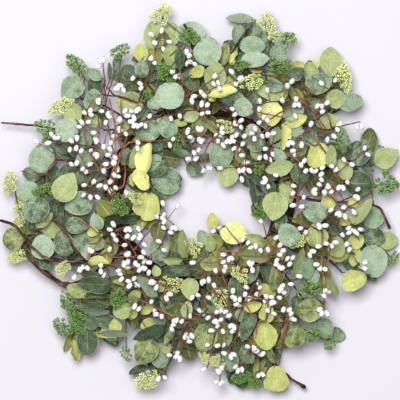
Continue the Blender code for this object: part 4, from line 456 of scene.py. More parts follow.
        ((65, -113, 33), (65, -112, 42), (88, -155, 52), (93, -208, 34), (109, -254, 13)), ((65, -112, 42),
         (44, -79, 19), (25, -45, 7))),
    "lime_spray_8": (
        ((128, -46, 28), (131, -47, 36), (160, -67, 45), (189, -86, 38), (216, -110, 21)), ((131, -47, 37),
         (99, -57, 46), (58, -68, 30))),
}

# Berries by number of the spray: (middle x, y, z)
BERRIES = {
    1: (
        (106, 60, 68), (108, 68, 91), (120, 38, 69), (131, 83, 90), (138, -8, 89), (138, 10, 92),
        (138, 73, 90), (139, 21, 90), (142, 68, 82), (149, -42, 93), (150, 52, 94), (151, -10, 91),
        (151, 82, 90), (154, 4, 93), (155, 58, 90), (157, -48, 94), (157, 43, 93), (163, -82, 91),
        (165, 113, 89), (170, 15, 90), (172, 43, 90), (177, 23, 92), (180, 30, 97), (180, 38, 91),
        (182, 140, 74), (182, 175, 62), (182, 48, 87), (183, 132, 72), (185, 12, 94), (190, 145, 71),
        (190, 90, 77), (191, 19, 82), (195, -15, 83), (195, 12, 90), (195, 173, 49), (195, 50, 99),
        (200, 95, 77), (202, 45, 86), (203, 180, 57), (205, 105, 76), (208, -22, 79), (208, 112, 60),
        (213, 18, 82), (214, -11, 83), (215, 60, 72), (220, 26, 69), (222, -42, 73), (226, -46, 66),
        (227, 53, 73), (235, -50, 67), (235, 110, 56), (236, 16, 72), (236, 3, 71), (240, -44, 70),
        (243, 111, 53), (247, 78, 61), (252, 68, 59), (30, 48, 47), (98, 64, 79)),
    2: (
        (-12, 147, 88), (-30, 125, 85), (-43, 121, 89), (-81, 110, 89), (-9, 154, 89), (-98, 110, 91),
        (-98, 122, 90), (100, 118, 96), (100, 163, 91), (100, 97, 93), (102, 20, 75), (103, 133, 92),
        (109, 99, 88), (11, 141, 93), (113, 37, 82), (12, 130, 89), (122, 148, 94), (130, 170, 84),
        (137, 177, 78), (14, 48, 42), (142, 125, 79), (143, 150, 88), (147, 142, 80), (175, 140, 78),
        (27, 174, 90), (29, 165, 91), (3, 128, 89), (31, 97, 65), (33, 107, 82), (40, 87, 74), (48, 135, 92),
        (48, 94, 75), (5, 43, 43), (5, 44, 60), (51, 77, 68), (52, 115, 80), (52, 127, 88), (53, 172, 91),
        (54, 97, 70), (58, 76, 59), (59, 44, 54), (6, 155, 96), (60, 181, 91), (61, 108, 90), (61, 118, 87),
        (63, 31, 53), (63, 67, 64), (64, 84, 70), (65, 45, 60), (66, 95, 87), (71, 55, 55), (74, 44, 56),
        (81, 91, 84), (82, 106, 85), (88, 115, 90), (88, 135, 91), (89, 147, 90), (89, 63, 80), (93, 95, 81),
        (95, 123, 85), (95, 26, 72), (97, 76, 87)),
    3: (
        (-1, 90, 57), (-12, 90, 51), (-15, 207, 67), (-150, 208, 64), (-153, 200, 63), (-16, 215, 78),
        (-18, 62, 46), (-2, 75, 53), (-20, 221, 72), (-33, 185, 73), (-41, 190, 94), (-46, 237, 63),
        (-6, 62, 47), (-68, 205, 68), (-68, 235, 68), (-72, 212, 78), (-73, 248, 64), (-8, 203, 73),
        (-89, 173, 88), (-9, 71, 55), (2, 106, 68), (2, 160, 86), (2, 88, 67), (20, 173, 84), (22, 184, 91),
        (24, 97, 63), (27, 88, 66), (35, 82, 62), (47, 191, 84)),
    4: (
        (-100, 181, 82), (-102, 132, 87), (-108, 125, 89), (-110, 11, 80), (-110, 98, 89), (-114, 164, 77),
        (-119, 103, 81), (-120, 118, 93), (-122, 35, 85), (-123, 167, 75), (-123, 45, 78), (-125, 18, 91),
        (-126, 63, 89), (-127, 37, 92), (-128, 57, 91), (-128, 95, 82), (-132, 85, 91), (-133, 27, 95),
        (-135, 124, 80), (-135, 15, 81), (-137, 67, 86), (-140, 115, 90), (-140, 19, 93), (-140, 53, 90),
        (-143, 43, 96), (-143, 79, 94), (-146, 132, 86), (-15, 94, 69), (-152, 145, 75), (-152, 4, 89),
        (-155, 68, 89), (-155, 90, 91), (-158, 100, 88), (-158, 27, 94), (-162, 127, 80), (-163, 4, 82),
        (-163, 53, 89), (-163, 73, 81), (-166, 116, 84), (-169, 42, 84), (-172, 130, 85), (-172, 22, 90),
        (-174, 46, 93), (-176, 73, 92), (-18, 104, 68), (-180, 109, 83), (-183, 55, 89), (-183, 92, 84),
        (-184, 77, 86), (-194, 75, 80), (-217, 93, 77), (-222, 98, 71), (-245, 88, 71), (-40, 91, 74),
        (-45, 82, 71), (-75, 125, 80), (-91, 135, 89), (-92, 85, 94), (-93, 77, 88)),
    5: (
        (-105, -128, 86), (-105, -44, 79), (-106, -80, 90), (-108, -54, 88), (-112, -67, 89),
        (-117, -118, 85), (-125, -59, 87), (-129, -36, 86), (-129, -52, 85), (-134, -44, 89), (-134, -73, 90),
        (-147, -106, 95), (-147, -97, 98), (-164, -74, 92), (-167, -101, 96), (-174, -100, 82),
        (-179, -105, 89), (-187, -115, 85), (-34, -9, 44), (-42, -192, 87), (-42, -42, 43), (-54, -22, 49),
        (-54, -33, 45), (-57, -173, 89), (-65, -25, 53), (-83, -67, 72), (-87, -85, 86), (-89, -53, 72),
        (-90, -127, 79), (-91, -162, 85), (-92, -43, 71), (-98, -117, 86), (-99, -56, 84)),
    6: (
        (-107, -92, 90), (-110, -101, 82), (-113, -97, 93), (-12, -145, 90), (-121, -105, 90),
        (-143, -112, 86), (-15, -173, 81), (-16, -211, 74), (-20, -205, 78), (-27, -180, 94), (-30, -238, 67),
        (-35, -179, 90), (-35, -229, 63), (-39, -180, 84), (-44, -49, 49), (-45, -140, 89), (-54, -75, 66),
        (-55, -42, 49), (-62, -62, 58), (-65, -130, 88), (-66, -169, 94), (-72, -151, 92), (-73, -122, 92),
        (-76, -108, 89), (-76, -93, 83), (-82, -102, 92), (-83, -93, 75), (-84, -78, 80), (-90, -104, 92),
        (-96, -94, 91), (-97, -158, 91)),
    7: (
        (-1, -164, 90), (-11, -94, 66), (-12, -202, 88), (-3, -141, 96), (-46, -232, 69), (-53, -267, 53),
        (100, -164, 92), (106, -153, 91), (11, -216, 81), (110, -169, 83), (12, -175, 90), (124, -163, 88),
        (13, -145, 89), (133, -164, 76), (137, -177, 77), (140, -178, 86), (17, -194, 88), (20, -47, 50),
        (21, -127, 88), (22, -180, 93), (24, -274, 51), (25, -166, 96), (26, -134, 80), (26, -187, 93),
        (26, -217, 81), (27, -256, 59), (29, -42, 42), (30, -165, 89), (30, -277, 45), (31, -178, 90),
        (32, -252, 64), (34, -195, 93), (35, -217, 69), (35, -93, 70), (36, -229, 73), (38, -166, 90),
        (4, -169, 82), (43, -172, 87), (46, -187, 89), (46, -235, 70), (49, -135, 90), (49, -195, 86),
        (5, -254, 61), (52, -147, 93), (54, -155, 90), (57, -256, 62), (58, -157, 82), (59, -148, 92),
        (60, -200, 71), (63, -255, 55), (64, -60, 63), (67, -140, 91), (69, -130, 81), (71, -219, 71),
        (72, -64, 70), (74, -146, 82), (76, -72, 69), (81, -221, 75), (85, -140, 81), (85, -226, 70),
        (87, -124, 77), (87, -231, 53), (88, -264, 52), (89, -130, 91), (94, -231, 59), (94, -262, 58),
        (96, -150, 85), (98, -143, 96)),
    8: (
        (101, -74, 87), (106, -144, 91), (113, -95, 96), (114, -56, 80), (114, -90, 89), (118, -145, 92),
        (118, -81, 103), (119, -67, 89), (120, -132, 95), (122, -101, 96), (123, -75, 99), (124, -137, 90),
        (13, -119, 80), (130, -87, 89), (133, -95, 96), (135, -125, 90), (138, -86, 86), (173, -96, 83),
        (176, -37, 92), (176, -69, 87), (179, -103, 74), (179, -164, 65), (180, -140, 64), (182, -170, 68),
        (185, -143, 75), (186, -103, 84), (186, -135, 75), (186, -38, 88), (188, -65, 82), (192, -138, 66),
        (202, -63, 83), (205, -20, 85), (212, -52, 82), (219, -66, 75), (222, -49, 78), (223, -74, 74),
        (23, -105, 84), (230, -18, 70), (242, -100, 61), (245, -102, 83), (3, -123, 79), (35, -82, 66),
        (36, -105, 89), (38, -100, 83), (43, -89, 65), (6, -121, 86), (73, -94, 84), (78, -104, 89),
        (83, -69, 80), (90, -75, 90), (91, -32, 73)),
}

# Seed heads by node: (x, y, z, radius)
HEADS = {
    "green_head_spray_1": (
        (212, 90, 63, 16), (122, 200, 61, 15), (128, 240, 43, 15), (62, 200, 77, 10), (88, 48, 61, 10)),
    "green_head_spray_2": (
        (-38, 90, 54, 16), (-50, 190, 79, 16), (-15, 243, 57, 15), (-118, 223, 53, 13), (-185, 202, 42, 16),
        (-82, 155, 76, 10)),
    "green_head_spray_3": (
        (-119, -8, 73, 15), (-232, 12, 62, 15), (-230, 108, 52, 16), (-268, -52, 30, 13)),
    "green_head_spray_4": (
        (-40, -169, 75, 12), (-122, -146, 82, 14), (-198, -150, 55, 14), (-187, -168, 47, 15),
        (-111, -230, 51, 11), (-184, -190, 40, 13), (-207, -192, 37, 14)),
    "green_head_spray_5": (
        (163, -201, 49, 16), (62, -266, 42, 13), (82, -272, 36, 13), (196, -214, 33, 12)),
    "green_head_spray_6": (
        (163, -133, 72, 17), (278, 25, 39, 19), (88, -18, 54, 12), (103, -17, 58, 8), (291, -88, 28, 10)),
    "lime_head_spray_1": (
        (38, 110, 71, 12), (75, 175, 82, 16), (-58, 278, 36, 16), (216, 185, 36, 17), (100, 267, 36, 15),
        (113, 245, 52, 10)),
    "lime_head_spray_2": (
        (-205, -103, 64, 12), (-208, 140, 54, 16), (-272, -32, 36, 11), (-285, 28, 35, 15),
        (-275, -85, 34, 13), (-271, -12, 43, 10), (-96, 4, 76, 11)),
    "lime_head_spray_3": (
        (-42, -125, 68, 15), (60, -110, 77, 13), (30, -147, 75, 15), (-9, -69, 41, 14), (10, -236, 60, 11),
        (24, -241, 52, 11), (-77, -270, 38, 18)),
    "lime_head_spray_4": (
        (145, -60, 81, 14),),
}

# Bare dark twigs: each is a group of runs of (x, y, z, radius)
DARK_TWIGS = (
    (
        ((-127.8, -57.4, 31.4, 2.4), (-131.6, -59.1, 39.4, 2.4), (-168, -92, 52, 2.2), (-200, -92, 52, 2),
         (-228, -87, 48, 1.9), (-248, -73, 44, 1.9), (-270, -50, 42, 2), (-281, -37, 40, 2.6),
         (-301, -31, 38, 2.2)), ((-168, -92, 52, 1.8), (-192, -70, 68, 1.6), (-199, -45, 74, 1.5),
         (-218, -30, 74, 1.2)), ((-168, -92, 56, 1.7), (-178, -84, 74, 1.7), (-190, -70, 85, 1.6),
         (-196, -52, 87, 1.5), (-209, -38, 85, 1.4), (-221, -30, 77, 1.1)), ((-281, -37, 41, 1.8),
         (-268, -52, 52, 1.8), (-250, -72, 62, 1.8), (-232, -88, 66, 1.8), (-205, -93, 63, 1.8),
         (-168, -92, 54, 1.8))),
    (
        ((-111.6, -76.7, 32.7, 2.6), (-113.5, -78, 41.4, 2.6), (-175, -122, 30, 3.2), (-204, -131, 26, 3.4),
         (-225, -117, 26, 3), (-250, -93, 26, 2.2), (-265, -71, 26, 1.9), (-256, -66, 27, 1.2)),
        ((-204, -131, 28, 2.8), (-224, -118, 40, 2.7), (-243, -103, 52, 2.4), (-258, -84, 50, 2),
         (-265, -71, 28, 1.6))),
    (
        ((-126.2, 54.1, 26.3, 2.2), (-130.1, 55.8, 34.3, 2.2), (-190, 100, 34, 1.8), (-237, 111, 32, 1.6),
         (-262, 114, 32, 1.7), (-300, 117, 30, 1.5)),),
    (
        ((137.9, 4.7, 27.6, 2.2), (142.2, 4.9, 35.5, 2.2), (200, -4, 30, 2), (240, -2, 34, 1.8),
         (263, -8, 36, 1.7), (273, -12, 36, 1.7), (280, -27, 34, 1.7), (287, -42, 32, 2.6)),),
    (
        ((93.6, -99.3, 24.6, 2.4), (96.5, -102.4, 32.5, 2.4), (130, -155, 42, 2.4), (129, -180, 44, 2.3),
         (115, -215, 40, 2.2), (107, -240, 34, 2.2), (110, -253, 32, 2.8)), ((107, -240, 34, 2),
         (135, -270, 20, 1.8), (147, -277, 20, 1.8), (158, -284, 20, 3.4))),
)

class LeafForm(Enum):
    """The outlines of leaves, in the order of their shapes in the collection."""

    ROUND = 0
    BROAD = 1
    EGG = 2
    SPOON = 3
    POINTED = 4
    NOTCHED = 5
    CURLED = 6
    FOLDED = 7
    DOMED = 8
    CRUMPLED = 9


@dataclass(frozen=True)
class Outline:
    """How a leaf's blade is cut and bent, all as shares of its length or width."""

    belly: float  # above 1 the widest place moves to the tip, below 1 to the foot
    fullness: float  # the lower, the rounder the ends
    cup: float = 0.06
    droop: float = 0.05
    wave: float = 0.02
    waves: float = 2.0
    notch: float = 0.0
    twist: float = 0.0
    ragged: float = 0.04  # how uneven the edge is


OUTLINES = {
    LeafForm.ROUND: Outline(0.9, 0.52, wave=0.025, waves=1.6),
    LeafForm.BROAD: Outline(0.82, 0.6, cup=0.07, wave=0.03, waves=2.3),
    LeafForm.EGG: Outline(0.72, 0.72, cup=0.06, wave=0.02, waves=1.8),
    LeafForm.SPOON: Outline(1.2, 0.66, cup=0.08, wave=0.03, waves=2.0),
    LeafForm.POINTED: Outline(0.78, 0.95, cup=0.05, droop=0.08, wave=0.02, waves=2.6),
    LeafForm.NOTCHED: Outline(1.0, 0.55, cup=0.05, wave=0.03, waves=2.2, notch=0.1),
    LeafForm.CURLED: Outline(0.95, 0.6, cup=0.15, droop=0.1, wave=0.05, waves=2.7, twist=0.1),
    LeafForm.FOLDED: Outline(0.9, 0.62, cup=0.26, droop=0.04, wave=0.03, waves=1.9),
    LeafForm.DOMED: Outline(0.95, 0.56, cup=-0.07, droop=0.07, wave=0.035, waves=2.1),
    LeafForm.CRUMPLED: Outline(1.05, 0.5, cup=0.16, droop=0.06, wave=0.08, waves=2.6, twist=0.16,
                               ragged=0.14),
}

# Which forms a shade of leaf draws from
FORMS = {
    "b": (LeafForm.ROUND, LeafForm.BROAD, LeafForm.EGG, LeafForm.NOTCHED, LeafForm.DOMED),
    "d": (LeafForm.DOMED, LeafForm.EGG, LeafForm.BROAD, LeafForm.ROUND),
    "p": (LeafForm.ROUND, LeafForm.BROAD, LeafForm.NOTCHED, LeafForm.DOMED),
    "o": (LeafForm.EGG, LeafForm.BROAD, LeafForm.SPOON, LeafForm.FOLDED),
    "y": (LeafForm.ROUND, LeafForm.EGG, LeafForm.SPOON, LeafForm.CURLED),
    "l": (LeafForm.CURLED, LeafForm.CRUMPLED, LeafForm.BROAD, LeafForm.FOLDED, LeafForm.CRUMPLED),
}
# The open middle, as circles of (x, y, radius)
HOLE = ((18, 0, 50), (-15, 5, 36), (45, 0, 34))
# Where the ground shows between the twigs, as circles
GAPS = ((97, -43, 14), (50, -80, 10), (-130, 120, 16), (-135, 75, 14), (212, -108, 14), (-216, -106, 18),
        (-240, -112, 14), (228, 112, 18), (-148, 157, 14), (-208, 60, 10), (-111, -202, 14), (286, 15, 12),
        (-77, 3, 10))
# Where the vines show between the leaves, as circles
BARE = ((-128, 32, 19), (-110, -62, 24), (-90, -85, 18), (-57, -97, 14), (86, -110, 15), (30, 122, 15),
        (66, 124, 18), (98, 118, 12), (146, -20, 12), (150, 28, 14), (132, -72, 12), (-71, 150, 10),
        (85, 20, 9))
OPEN = HOLE + GAPS + BARE
# Small leaves grow this near to a leaf or berry of the plan, and higher than this over the ground
FOLIAGE_REACH = 20.0
LOWEST_TIP = 4.0
FOLIAGE = tuple((*row[:2], FOLIAGE_REACH)
                for plan in (LEAVES, BERRIES) for rows in plan.values() for row in rows)
# How much lighter or darker the leaves are in places: (x, y, radius, change)
SHADE_CHANGES = ((-78, 66, 22, 0.6), (-84, 0, 22, 0.12), (-82, -228, 8, -0.4), (-277, -56, 20, -0.3),
                 (83, -250, 24, -0.35), (143, -206, 22, -0.75), (-210, -75, 8, -0.3), (-35, -150, 20, -0.35),
                 (105, 42, 16, 0.25), (100, 120, 16, 0.5), (132, 100, 14, 0.5), (45, 158, 16, 0.2),
                 (48, -48, 26, 0.3), (-88, 28, 14, 0.2), (-50, 30, 8, -0.35), (51, 217, 8, 0.5),
                 (50, 150, 8, 0.4), (122, -176, 8, 0.3), (-160, -114, 8, 0.25), (284, 64, 10, -0.2),
                 (-200, 20, 12, -0.3), (196, -129, 8, 0.7), (171, -18, 8, 0.4), (-45, 250, 8, 0.4),
                 (69, -188, 8, 0.3), (-128, -200, 8, 0.5), (206, -72, 8, 0.3), (112, -114, 8, 0.25),
                 (244, -16, 8, 0.4), (244, 69, 8, -0.15), (-70, 250, 8, 0.5), (-42, 216, 8, -0.2),
                 (-222, -44, 8, 0.2), (-194, 168, 8, 0.15), (82, -82, 8, 0.4), (120, 222, 8, -0.15),
                 (-156, -140, 20, -0.3), (32, 68, 8, -0.2), (-137, 168, 8, 0.2), (-15, 254, 8, 0.25),
                 (262, -26, 8, 0.2), (164, -165, 8, 0.2), (8, -206, 8, -0.45), (-183, -38, 8, -0.3),
                 (116, -270, 8, -0.2), (-15, -134, 8, -0.4), (82, 86, 8, -0.35), (98, -204, 8, -0.05),
                 (-105, 142, 8, -0.45), (178, 182, 8, -0.1), (-182, -6, 8, -0.35), (-190, -63, 18, -0.35),
                 (-78, -200, 10, -0.4), (-244, -15, 8, -0.55), (148, 39, 8, -0.6), (-170, -214, 8, -0.4),
                 (240, 26, 8, -0.4), (57, -130, 8, -0.5), (-63, -48, 8, -0.5), (-154, -166, 8, 0.6),
                 (126, 96, 8, 0.5), (-204, -64, 8, -0.3), (-51, 64, 8, -0.25))
# Leaves of the plan with a form of their own, by foot
LEAF_FORMS = {(-13, 235): LeafForm.ROUND, (-212, -1): LeafForm.EGG, (-84, 37): LeafForm.FOLDED,
              (-79, 15): LeafForm.CRUMPLED, (-75, 12): LeafForm.CRUMPLED, (198, 183): LeafForm.SPOON,
              (264, 54): LeafForm.POINTED}
# Seed heads that are longer one way, by centre: (direction, how many times longer)
LONG_HEADS = {(216, 185): (-78, 1.5), (-208, 140): (38, 1.4)}
# Short bare ends that lie over the leaves, as (path, radii, tone)
SNAGS = {
    "blue_spray_4": (
        (((-11, 228, 40), (-15, 246, 58), (-24, 264, 60)), (1.6, 2.3, 1.9), 0.0),
        (((42, 215, 32), (53, 229, 64), (64, 246, 64), (79, 265, 54)), (1.4, 1.5, 1.7, 1.1), 0.0),
        (((60, 238, 64), (68, 254, 65), (69, 270, 60)), (1.0, 1.0, 0.7), 1.0)),
}
# The shades of a slot's leaves, those that its small leaves are drawn from, and each shade's tone
SHADES = {"blue": "bdp", "olive": "oy", "lime": "l"}
PAIR_SHADES = {"blue": "ddbbbp", "olive": "ooood", "lime": "ooyl"}
SHADE_TONE = {"d": 0.05, "b": 0.55, "p": 0.9, "o": 0.25, "y": 0.75, "l": 0.52}


def within(place: Vector, circles: tuple) -> bool:
    """Say whether a place is in any of the circles of (x, y, radius), seen from above."""
    return any(math.hypot(place.x - x, place.y - y) < radius for x, y, radius in circles)


def shade_change(place: Vector) -> float:
    """Return how much lighter the leaves are at a place."""
    return sum(change for *circle, change in SHADE_CHANGES if within(place, (circle,)))


def polar(radius: float, angle: float, height: float = 0.0) -> Vector:
    """Return the point at a radius and an angle in radians round Z."""
    return Vector((radius * math.cos(angle), radius * math.sin(angle), height))


class Scalar:
    """A number socket of a node tree, with arithmetic that adds Math nodes."""

    def __init__(self, sheet: "Sheet", socket: Socket) -> None:
        """Wrap an output socket that gives a number."""
        self.sheet = sheet
        self.socket = socket

    def math(self, operation: str, *others: "Scalar | float") -> "Scalar":
        """Return this number under one of the Math node's operations."""
        return self.sheet.number("ShaderNodeMath", dict(enumerate((self,) + others)), operation=operation)

    def __add__(self, other: "Scalar | float") -> "Scalar":
        """Return the sum."""
        return self.math("ADD", other)

    def __sub__(self, other: "Scalar | float") -> "Scalar":
        """Return the difference."""
        return self.math("SUBTRACT", other)

    def __rsub__(self, other: float) -> "Scalar":
        """Return a plain number less this one."""
        return self * -1.0 + other

    def __mul__(self, other: "Scalar | float") -> "Scalar":
        """Return the product."""
        return self.math("MULTIPLY", other)

    __radd__ = __add__
    __rmul__ = __mul__

    def ramp(self, low: float, high: float, start: float = 0.0, end: float = 1.0) -> "Scalar":
        """Return a smooth step of this number, from start at low to end at high."""
        return self.sheet.number("ShaderNodeMapRange", {0: self, 1: low, 2: high, 3: start, 4: end},
                                 interpolation_type="SMOOTHSTEP")


class Sheet:
    """A node tree with one way to add any node."""

    def __init__(self, tree: bpy.types.NodeTree) -> None:
        """Wrap a material's or a modifier's tree."""
        self.tree = tree

    def node(self, kind: str, values: dict | None = None, **settings: object) -> bpy.types.Node:
        """Add a node.

        Args:
            kind: the node's type name.
            values: what its inputs get, by name or number: a value, a number or a socket to link.
            settings: its properties, which are set first.

        Returns:
            The new node.
        """
        node = self.tree.nodes.new(kind)
        for name, value in settings.items():
            setattr(node, name, value)
        for key, value in (values or {}).items():
            value = value.socket if isinstance(value, Scalar) else value
            if isinstance(value, Socket):
                self.tree.links.new(value, node.inputs[key])
            else:
                node.inputs[key].default_value = value
        return node

    def out(self, kind: str, values: dict | None = None, **settings: object) -> Socket:
        """Add a node and return its first output."""
        return self.node(kind, values, **settings).outputs[0]

    def number(self, kind: str, values: dict, output: str | int = 0, **settings: object) -> Scalar:
        """Add a node and return one of its outputs as a number."""
        return Scalar(self, self.node(kind, values, **settings).outputs[output])

    def mix(self, factor: "Scalar | float", first: Colour | Socket, second: Colour | Socket) -> Socket:
        """Return the colour between two colours.

        Args:
            factor: how far the colour is from the first to the second.
            first: the first colour.
            second: the second colour.

        Returns:
            The colour's socket.
        """
        values = {0: factor}
        for index, colour in ((6, first), (7, second)):
            values[index] = (*colour, 1.0) if isinstance(colour, tuple) else colour
        return self.node("ShaderNodeMix", values, data_type="RGBA").outputs[2]

    def place(self) -> Socket:
        """Return the place on the object, in metres."""
        return self.node("ShaderNodeTexCoord").outputs["Object"]

    def blade(self) -> list[Scalar]:
        """Return the places along and across a shape's UV map, from 0 to 1."""
        split = self.node("ShaderNodeSeparateXYZ", {0: self.out("ShaderNodeUVMap", uv_map="blade")})
        return [Scalar(self, split.outputs[index]) for index in (0, 1)]

    def noise(self, place: Socket, scale: float, detail: float = 2.0) -> Scalar:
        """Return plain noise at a scale in waves to the metre."""
        return self.number("ShaderNodeTexNoise", {"Vector": place, "Scale": scale, "Detail": detail})

    def cells(self, place: Socket, scale: float) -> Scalar:
        """Return the distance to the edge of the cells of a net."""
        return self.number("ShaderNodeTexVoronoi", {"Vector": place, "Scale": scale}, "Distance",
                           feature="DISTANCE_TO_EDGE")

    def attribute(self, name: str) -> Scalar:
        """Return a mesh attribute in a material."""
        return self.number("ShaderNodeAttribute", {}, "Fac", attribute_name=name)

    def field(self, name: str, kind: str) -> Socket:
        """Return a mesh attribute in a geometry tree."""
        return self.out("GeometryNodeInputNamedAttribute", {"Name": name}, data_type=kind)

    def keep(self, shape: Socket, name: str, value: object, kind: str = "FLOAT",
             domain: str = "POINT") -> Socket:
        """Store a value on a shape's points or faces."""
        return self.out("GeometryNodeStoreNamedAttribute", {"Geometry": shape, "Name": name, "Value": value},
                        data_type=kind, domain=domain)

    def join(self, *shapes: Socket) -> Socket:
        """Join shapes and make their instances real.

        Args:
            shapes: the shapes' sockets.

        Returns:
            The joined shape's socket.
        """
        joined = self.node("GeometryNodeJoinGeometry")
        for shape in shapes:
            self.tree.links.new(shape, joined.inputs[0])
        return self.out("GeometryNodeRealizeInstances", {0: joined.outputs[0]})


Paint = tuple[Socket, Scalar, Scalar, float]


@dataclass(frozen=True)
class Finish:
    """A material with a rough, lightly varied surface."""

    name: str
    roughness: float = 0.55

    def paint(self, sheet: Sheet) -> Paint:
        """Lay the pattern of the surface.

        Args:
            sheet: the material's tree.

        Returns:
            The colour, the roughness, the relief and the relief's depth in metres.
        """
        raise NotImplementedError

    def rough(self, pattern: Scalar, spread: float = 0.2) -> Scalar:
        """Return the roughness, which a pattern varies by a spread."""
        return pattern * spread + (self.roughness - 0.1)

    def make(self) -> Material:
        """Build the material.

        Returns:
            The material, one Principled surface with a bumped normal.
        """
        material = bpy.data.materials.new(self.name)
        material.use_nodes = True
        material.node_tree.nodes.clear()
        sheet = Sheet(material.node_tree)
        colour, rough, relief, depth = self.paint(sheet)
        bump = sheet.out("ShaderNodeBump", {"Strength": BUMP_STRENGTH, "Distance": depth, "Height": relief})
        surface = sheet.out("ShaderNodeBsdfPrincipled", {
            "Base Color": colour, "Roughness": rough, "Normal": bump, "Specular IOR Level": SHEEN})
        sheet.node("ShaderNodeOutputMaterial", {0: surface})
        return material


@dataclass(frozen=True)
class LeafFinish(Finish):
    """A leaf's blade: three shades by tone, a net of fine veins, a midrib and a pale margin."""

    deep: Colour = (0.05, 0.12, 0.06)
    middle: Colour = (0.18, 0.32, 0.2)
    bright: Colour = (0.4, 0.52, 0.4)
    vein: Colour = (0.45, 0.58, 0.42)
    under: Colour = (0.42, 0.52, 0.42)
    net: float = 0.3  # how far the net of veins stands out
    midrib: float = 0.4  # how far the midrib stands out
    ribs: float = 7.0  # side veins along a blade
    margin: float = 0.45  # how pale the edge is
    clouds: tuple[float, float] = (45.0, 200.0)  # waves of tone to the metre, wide and narrow
    nets: tuple[float, float] = (330.0, 560.0)  # cells to the metre, coarse and fine
    depth: float = 0.0006

    def paint(self, sheet: Sheet) -> Paint:
        """Lay the shades, the veins and the margin.

        Args:
            sheet: the material's tree.

        Returns:
            The colour, the roughness, the relief and the relief's depth in metres.
        """
        place = sheet.place()
        along, across = sheet.blade()
        aside = (across - 0.5).math("ABSOLUTE") * 2.0
        wide, narrow = (sheet.noise(place, scale) - 0.5 for scale in self.clouds)
        tone = sheet.attribute("tone") + wide * 0.95 + narrow * 0.55 - along.ramp(0.3, 0.0) * 0.18
        body = sheet.mix(tone.ramp(0.0, 0.5), self.deep, self.middle)
        body = sheet.mix(tone.ramp(0.5, 1.15), body, self.bright)
        cells, fine = (sheet.cells(place, scale) for scale in self.nets)
        net = cells.ramp(0.0, 0.16, 1.0, 0.0).math("MAXIMUM", fine.ramp(0.0, 0.14, 0.6, 0.0))
        net = net * sheet.noise(place, 90.0).ramp(0.3, 0.6, 0.35) * tone.ramp(-0.2, 0.6, 0.4, 1.0)
        dots = sheet.noise(place, 620.0, 3.0).ramp(0.42, 0.6)
        cell = (cells.ramp(0.1, 0.4) + fine.ramp(0.1, 0.4) + dots) * 0.3 * tone.ramp(0.0, 0.8, 0.3, 1.0)
        body = sheet.mix(cell * self.net, body, self.deep)
        body = sheet.mix(net * self.net, body, self.vein)
        rib = (along * self.ribs - aside * 1.9).math("FRACT")
        rib = (rib - 0.5).math("ABSOLUTE").ramp(0.0, 0.1, 1.0, 0.0) * aside.ramp(0.85, 0.6)
        middle = aside.ramp(0.02, 0.07, 1.0, 0.0) * along.ramp(0.98, 0.8)
        veins = (rib * 0.4).math("MAXIMUM", middle)
        body = sheet.mix(veins * self.midrib, body, self.vein)
        edge = aside.ramp(0.9, 1.0).math("MAXIMUM", along.ramp(0.965, 1.0))
        body = sheet.mix(edge * self.margin, body, self.vein)
        specks = sheet.noise(place, 420.0, 3.0).ramp(0.66, 0.74) * 0.35
        body = sheet.mix(specks, body, tuple(share * 0.45 for share in self.deep))
        colour = sheet.mix(sheet.attribute("under") * 0.7, body, self.under)
        relief = veins * 0.5 - net * 0.2 + sheet.noise(place, 240.0) * 0.3
        return colour, self.rough(sheet.noise(place, 160.0)), relief, self.depth


@dataclass(frozen=True)
class BarkFinish(Finish):
    """Vine, twig and stem bark: long streaks in two browns, paler in places by dusting and painted highlight.
    """

    dark: Colour = (0.02, 0.012, 0.01)
    light: Colour = (0.07, 0.045, 0.035)
    # The paler colour and its share: dusting on the stems, a painted red-brown highlight on the vines and
    # dark twigs
    dust_and_highlight: Colour = (0.22, 0.18, 0.17)
    dust_and_highlight_share: float = 0.2
    lengthwise: float = 60.0  # waves of a streak to the metre of stem
    around: float = 4.0  # streaks side by side
    depth: float = 0.0008

    def paint(self, sheet: Sheet) -> Paint:
        """Lay the streaks, the dusting and the painted highlights.

        Args:
            sheet: the material's tree.

        Returns:
            The colour, the roughness, the relief and the relief's depth in metres.
        """
        place = sheet.place()
        patch = sheet.noise(place, 40.0) - 0.5
        tone = sheet.attribute("tone")
        travel = sheet.attribute("travel") * self.lengthwise
        around = sheet.attribute("around") * self.around
        grain = sheet.out("ShaderNodeCombineXYZ", {0: travel, 1: around, 2: tone * 31.0})
        streak = sheet.noise(grain, 1.0, 3.0) * 0.75 + sheet.noise(place, 260.0, 4.0) * 0.25
        body = (streak * 2.6 - 0.8 + patch * 0.6 + (tone - 0.5) * 0.5).ramp(0.2, 0.85)
        body = sheet.mix(body, self.dark, self.light)
        # Paler patches along the streaks: painted highlight on the vines and dark twigs, dusting on the other
        # stems
        body = sheet.mix((streak + patch * 0.4).ramp(0.54, 0.66) * self.dust_and_highlight_share, body, self.dust_and_highlight)
        return body, self.rough(streak, 0.25), streak, self.depth


@dataclass(frozen=True)
class BerryFinish(Finish):
    """A white waxy berry: mottled with painted grey shade, cream at the stalk, with a small dark tip."""

    skin: Colour = (0.76, 0.75, 0.735)
    # painted shade, laid on the skin in grey mottles
    shade: Colour = (0.47, 0.47, 0.475)
    tip: Colour = (0.06, 0.045, 0.035)
    foot: Colour = (0.45, 0.42, 0.29)
    depth: float = 0.0003

    def paint(self, sheet: Sheet) -> Paint:
        """Lay the skin with its painted shade, the foot and the tip.

        Args:
            sheet: the material's tree.

        Returns:
            The colour, the roughness, the relief and the relief's depth in metres.
        """
        along, _ = sheet.blade()
        mottle = sheet.noise(sheet.place(), 320.0, 3.0)
        # Painted shade: grey mottles over the white skin
        body = sheet.mix(mottle.ramp(0.45, 0.7) * 0.7, self.skin, self.shade)
        body = sheet.mix(along.ramp(0.22, 0.0) * 0.6, body, self.foot)
        body = sheet.mix(along.ramp(0.9, 0.95), body, self.tip)
        return body, self.rough(mottle), mottle, self.depth


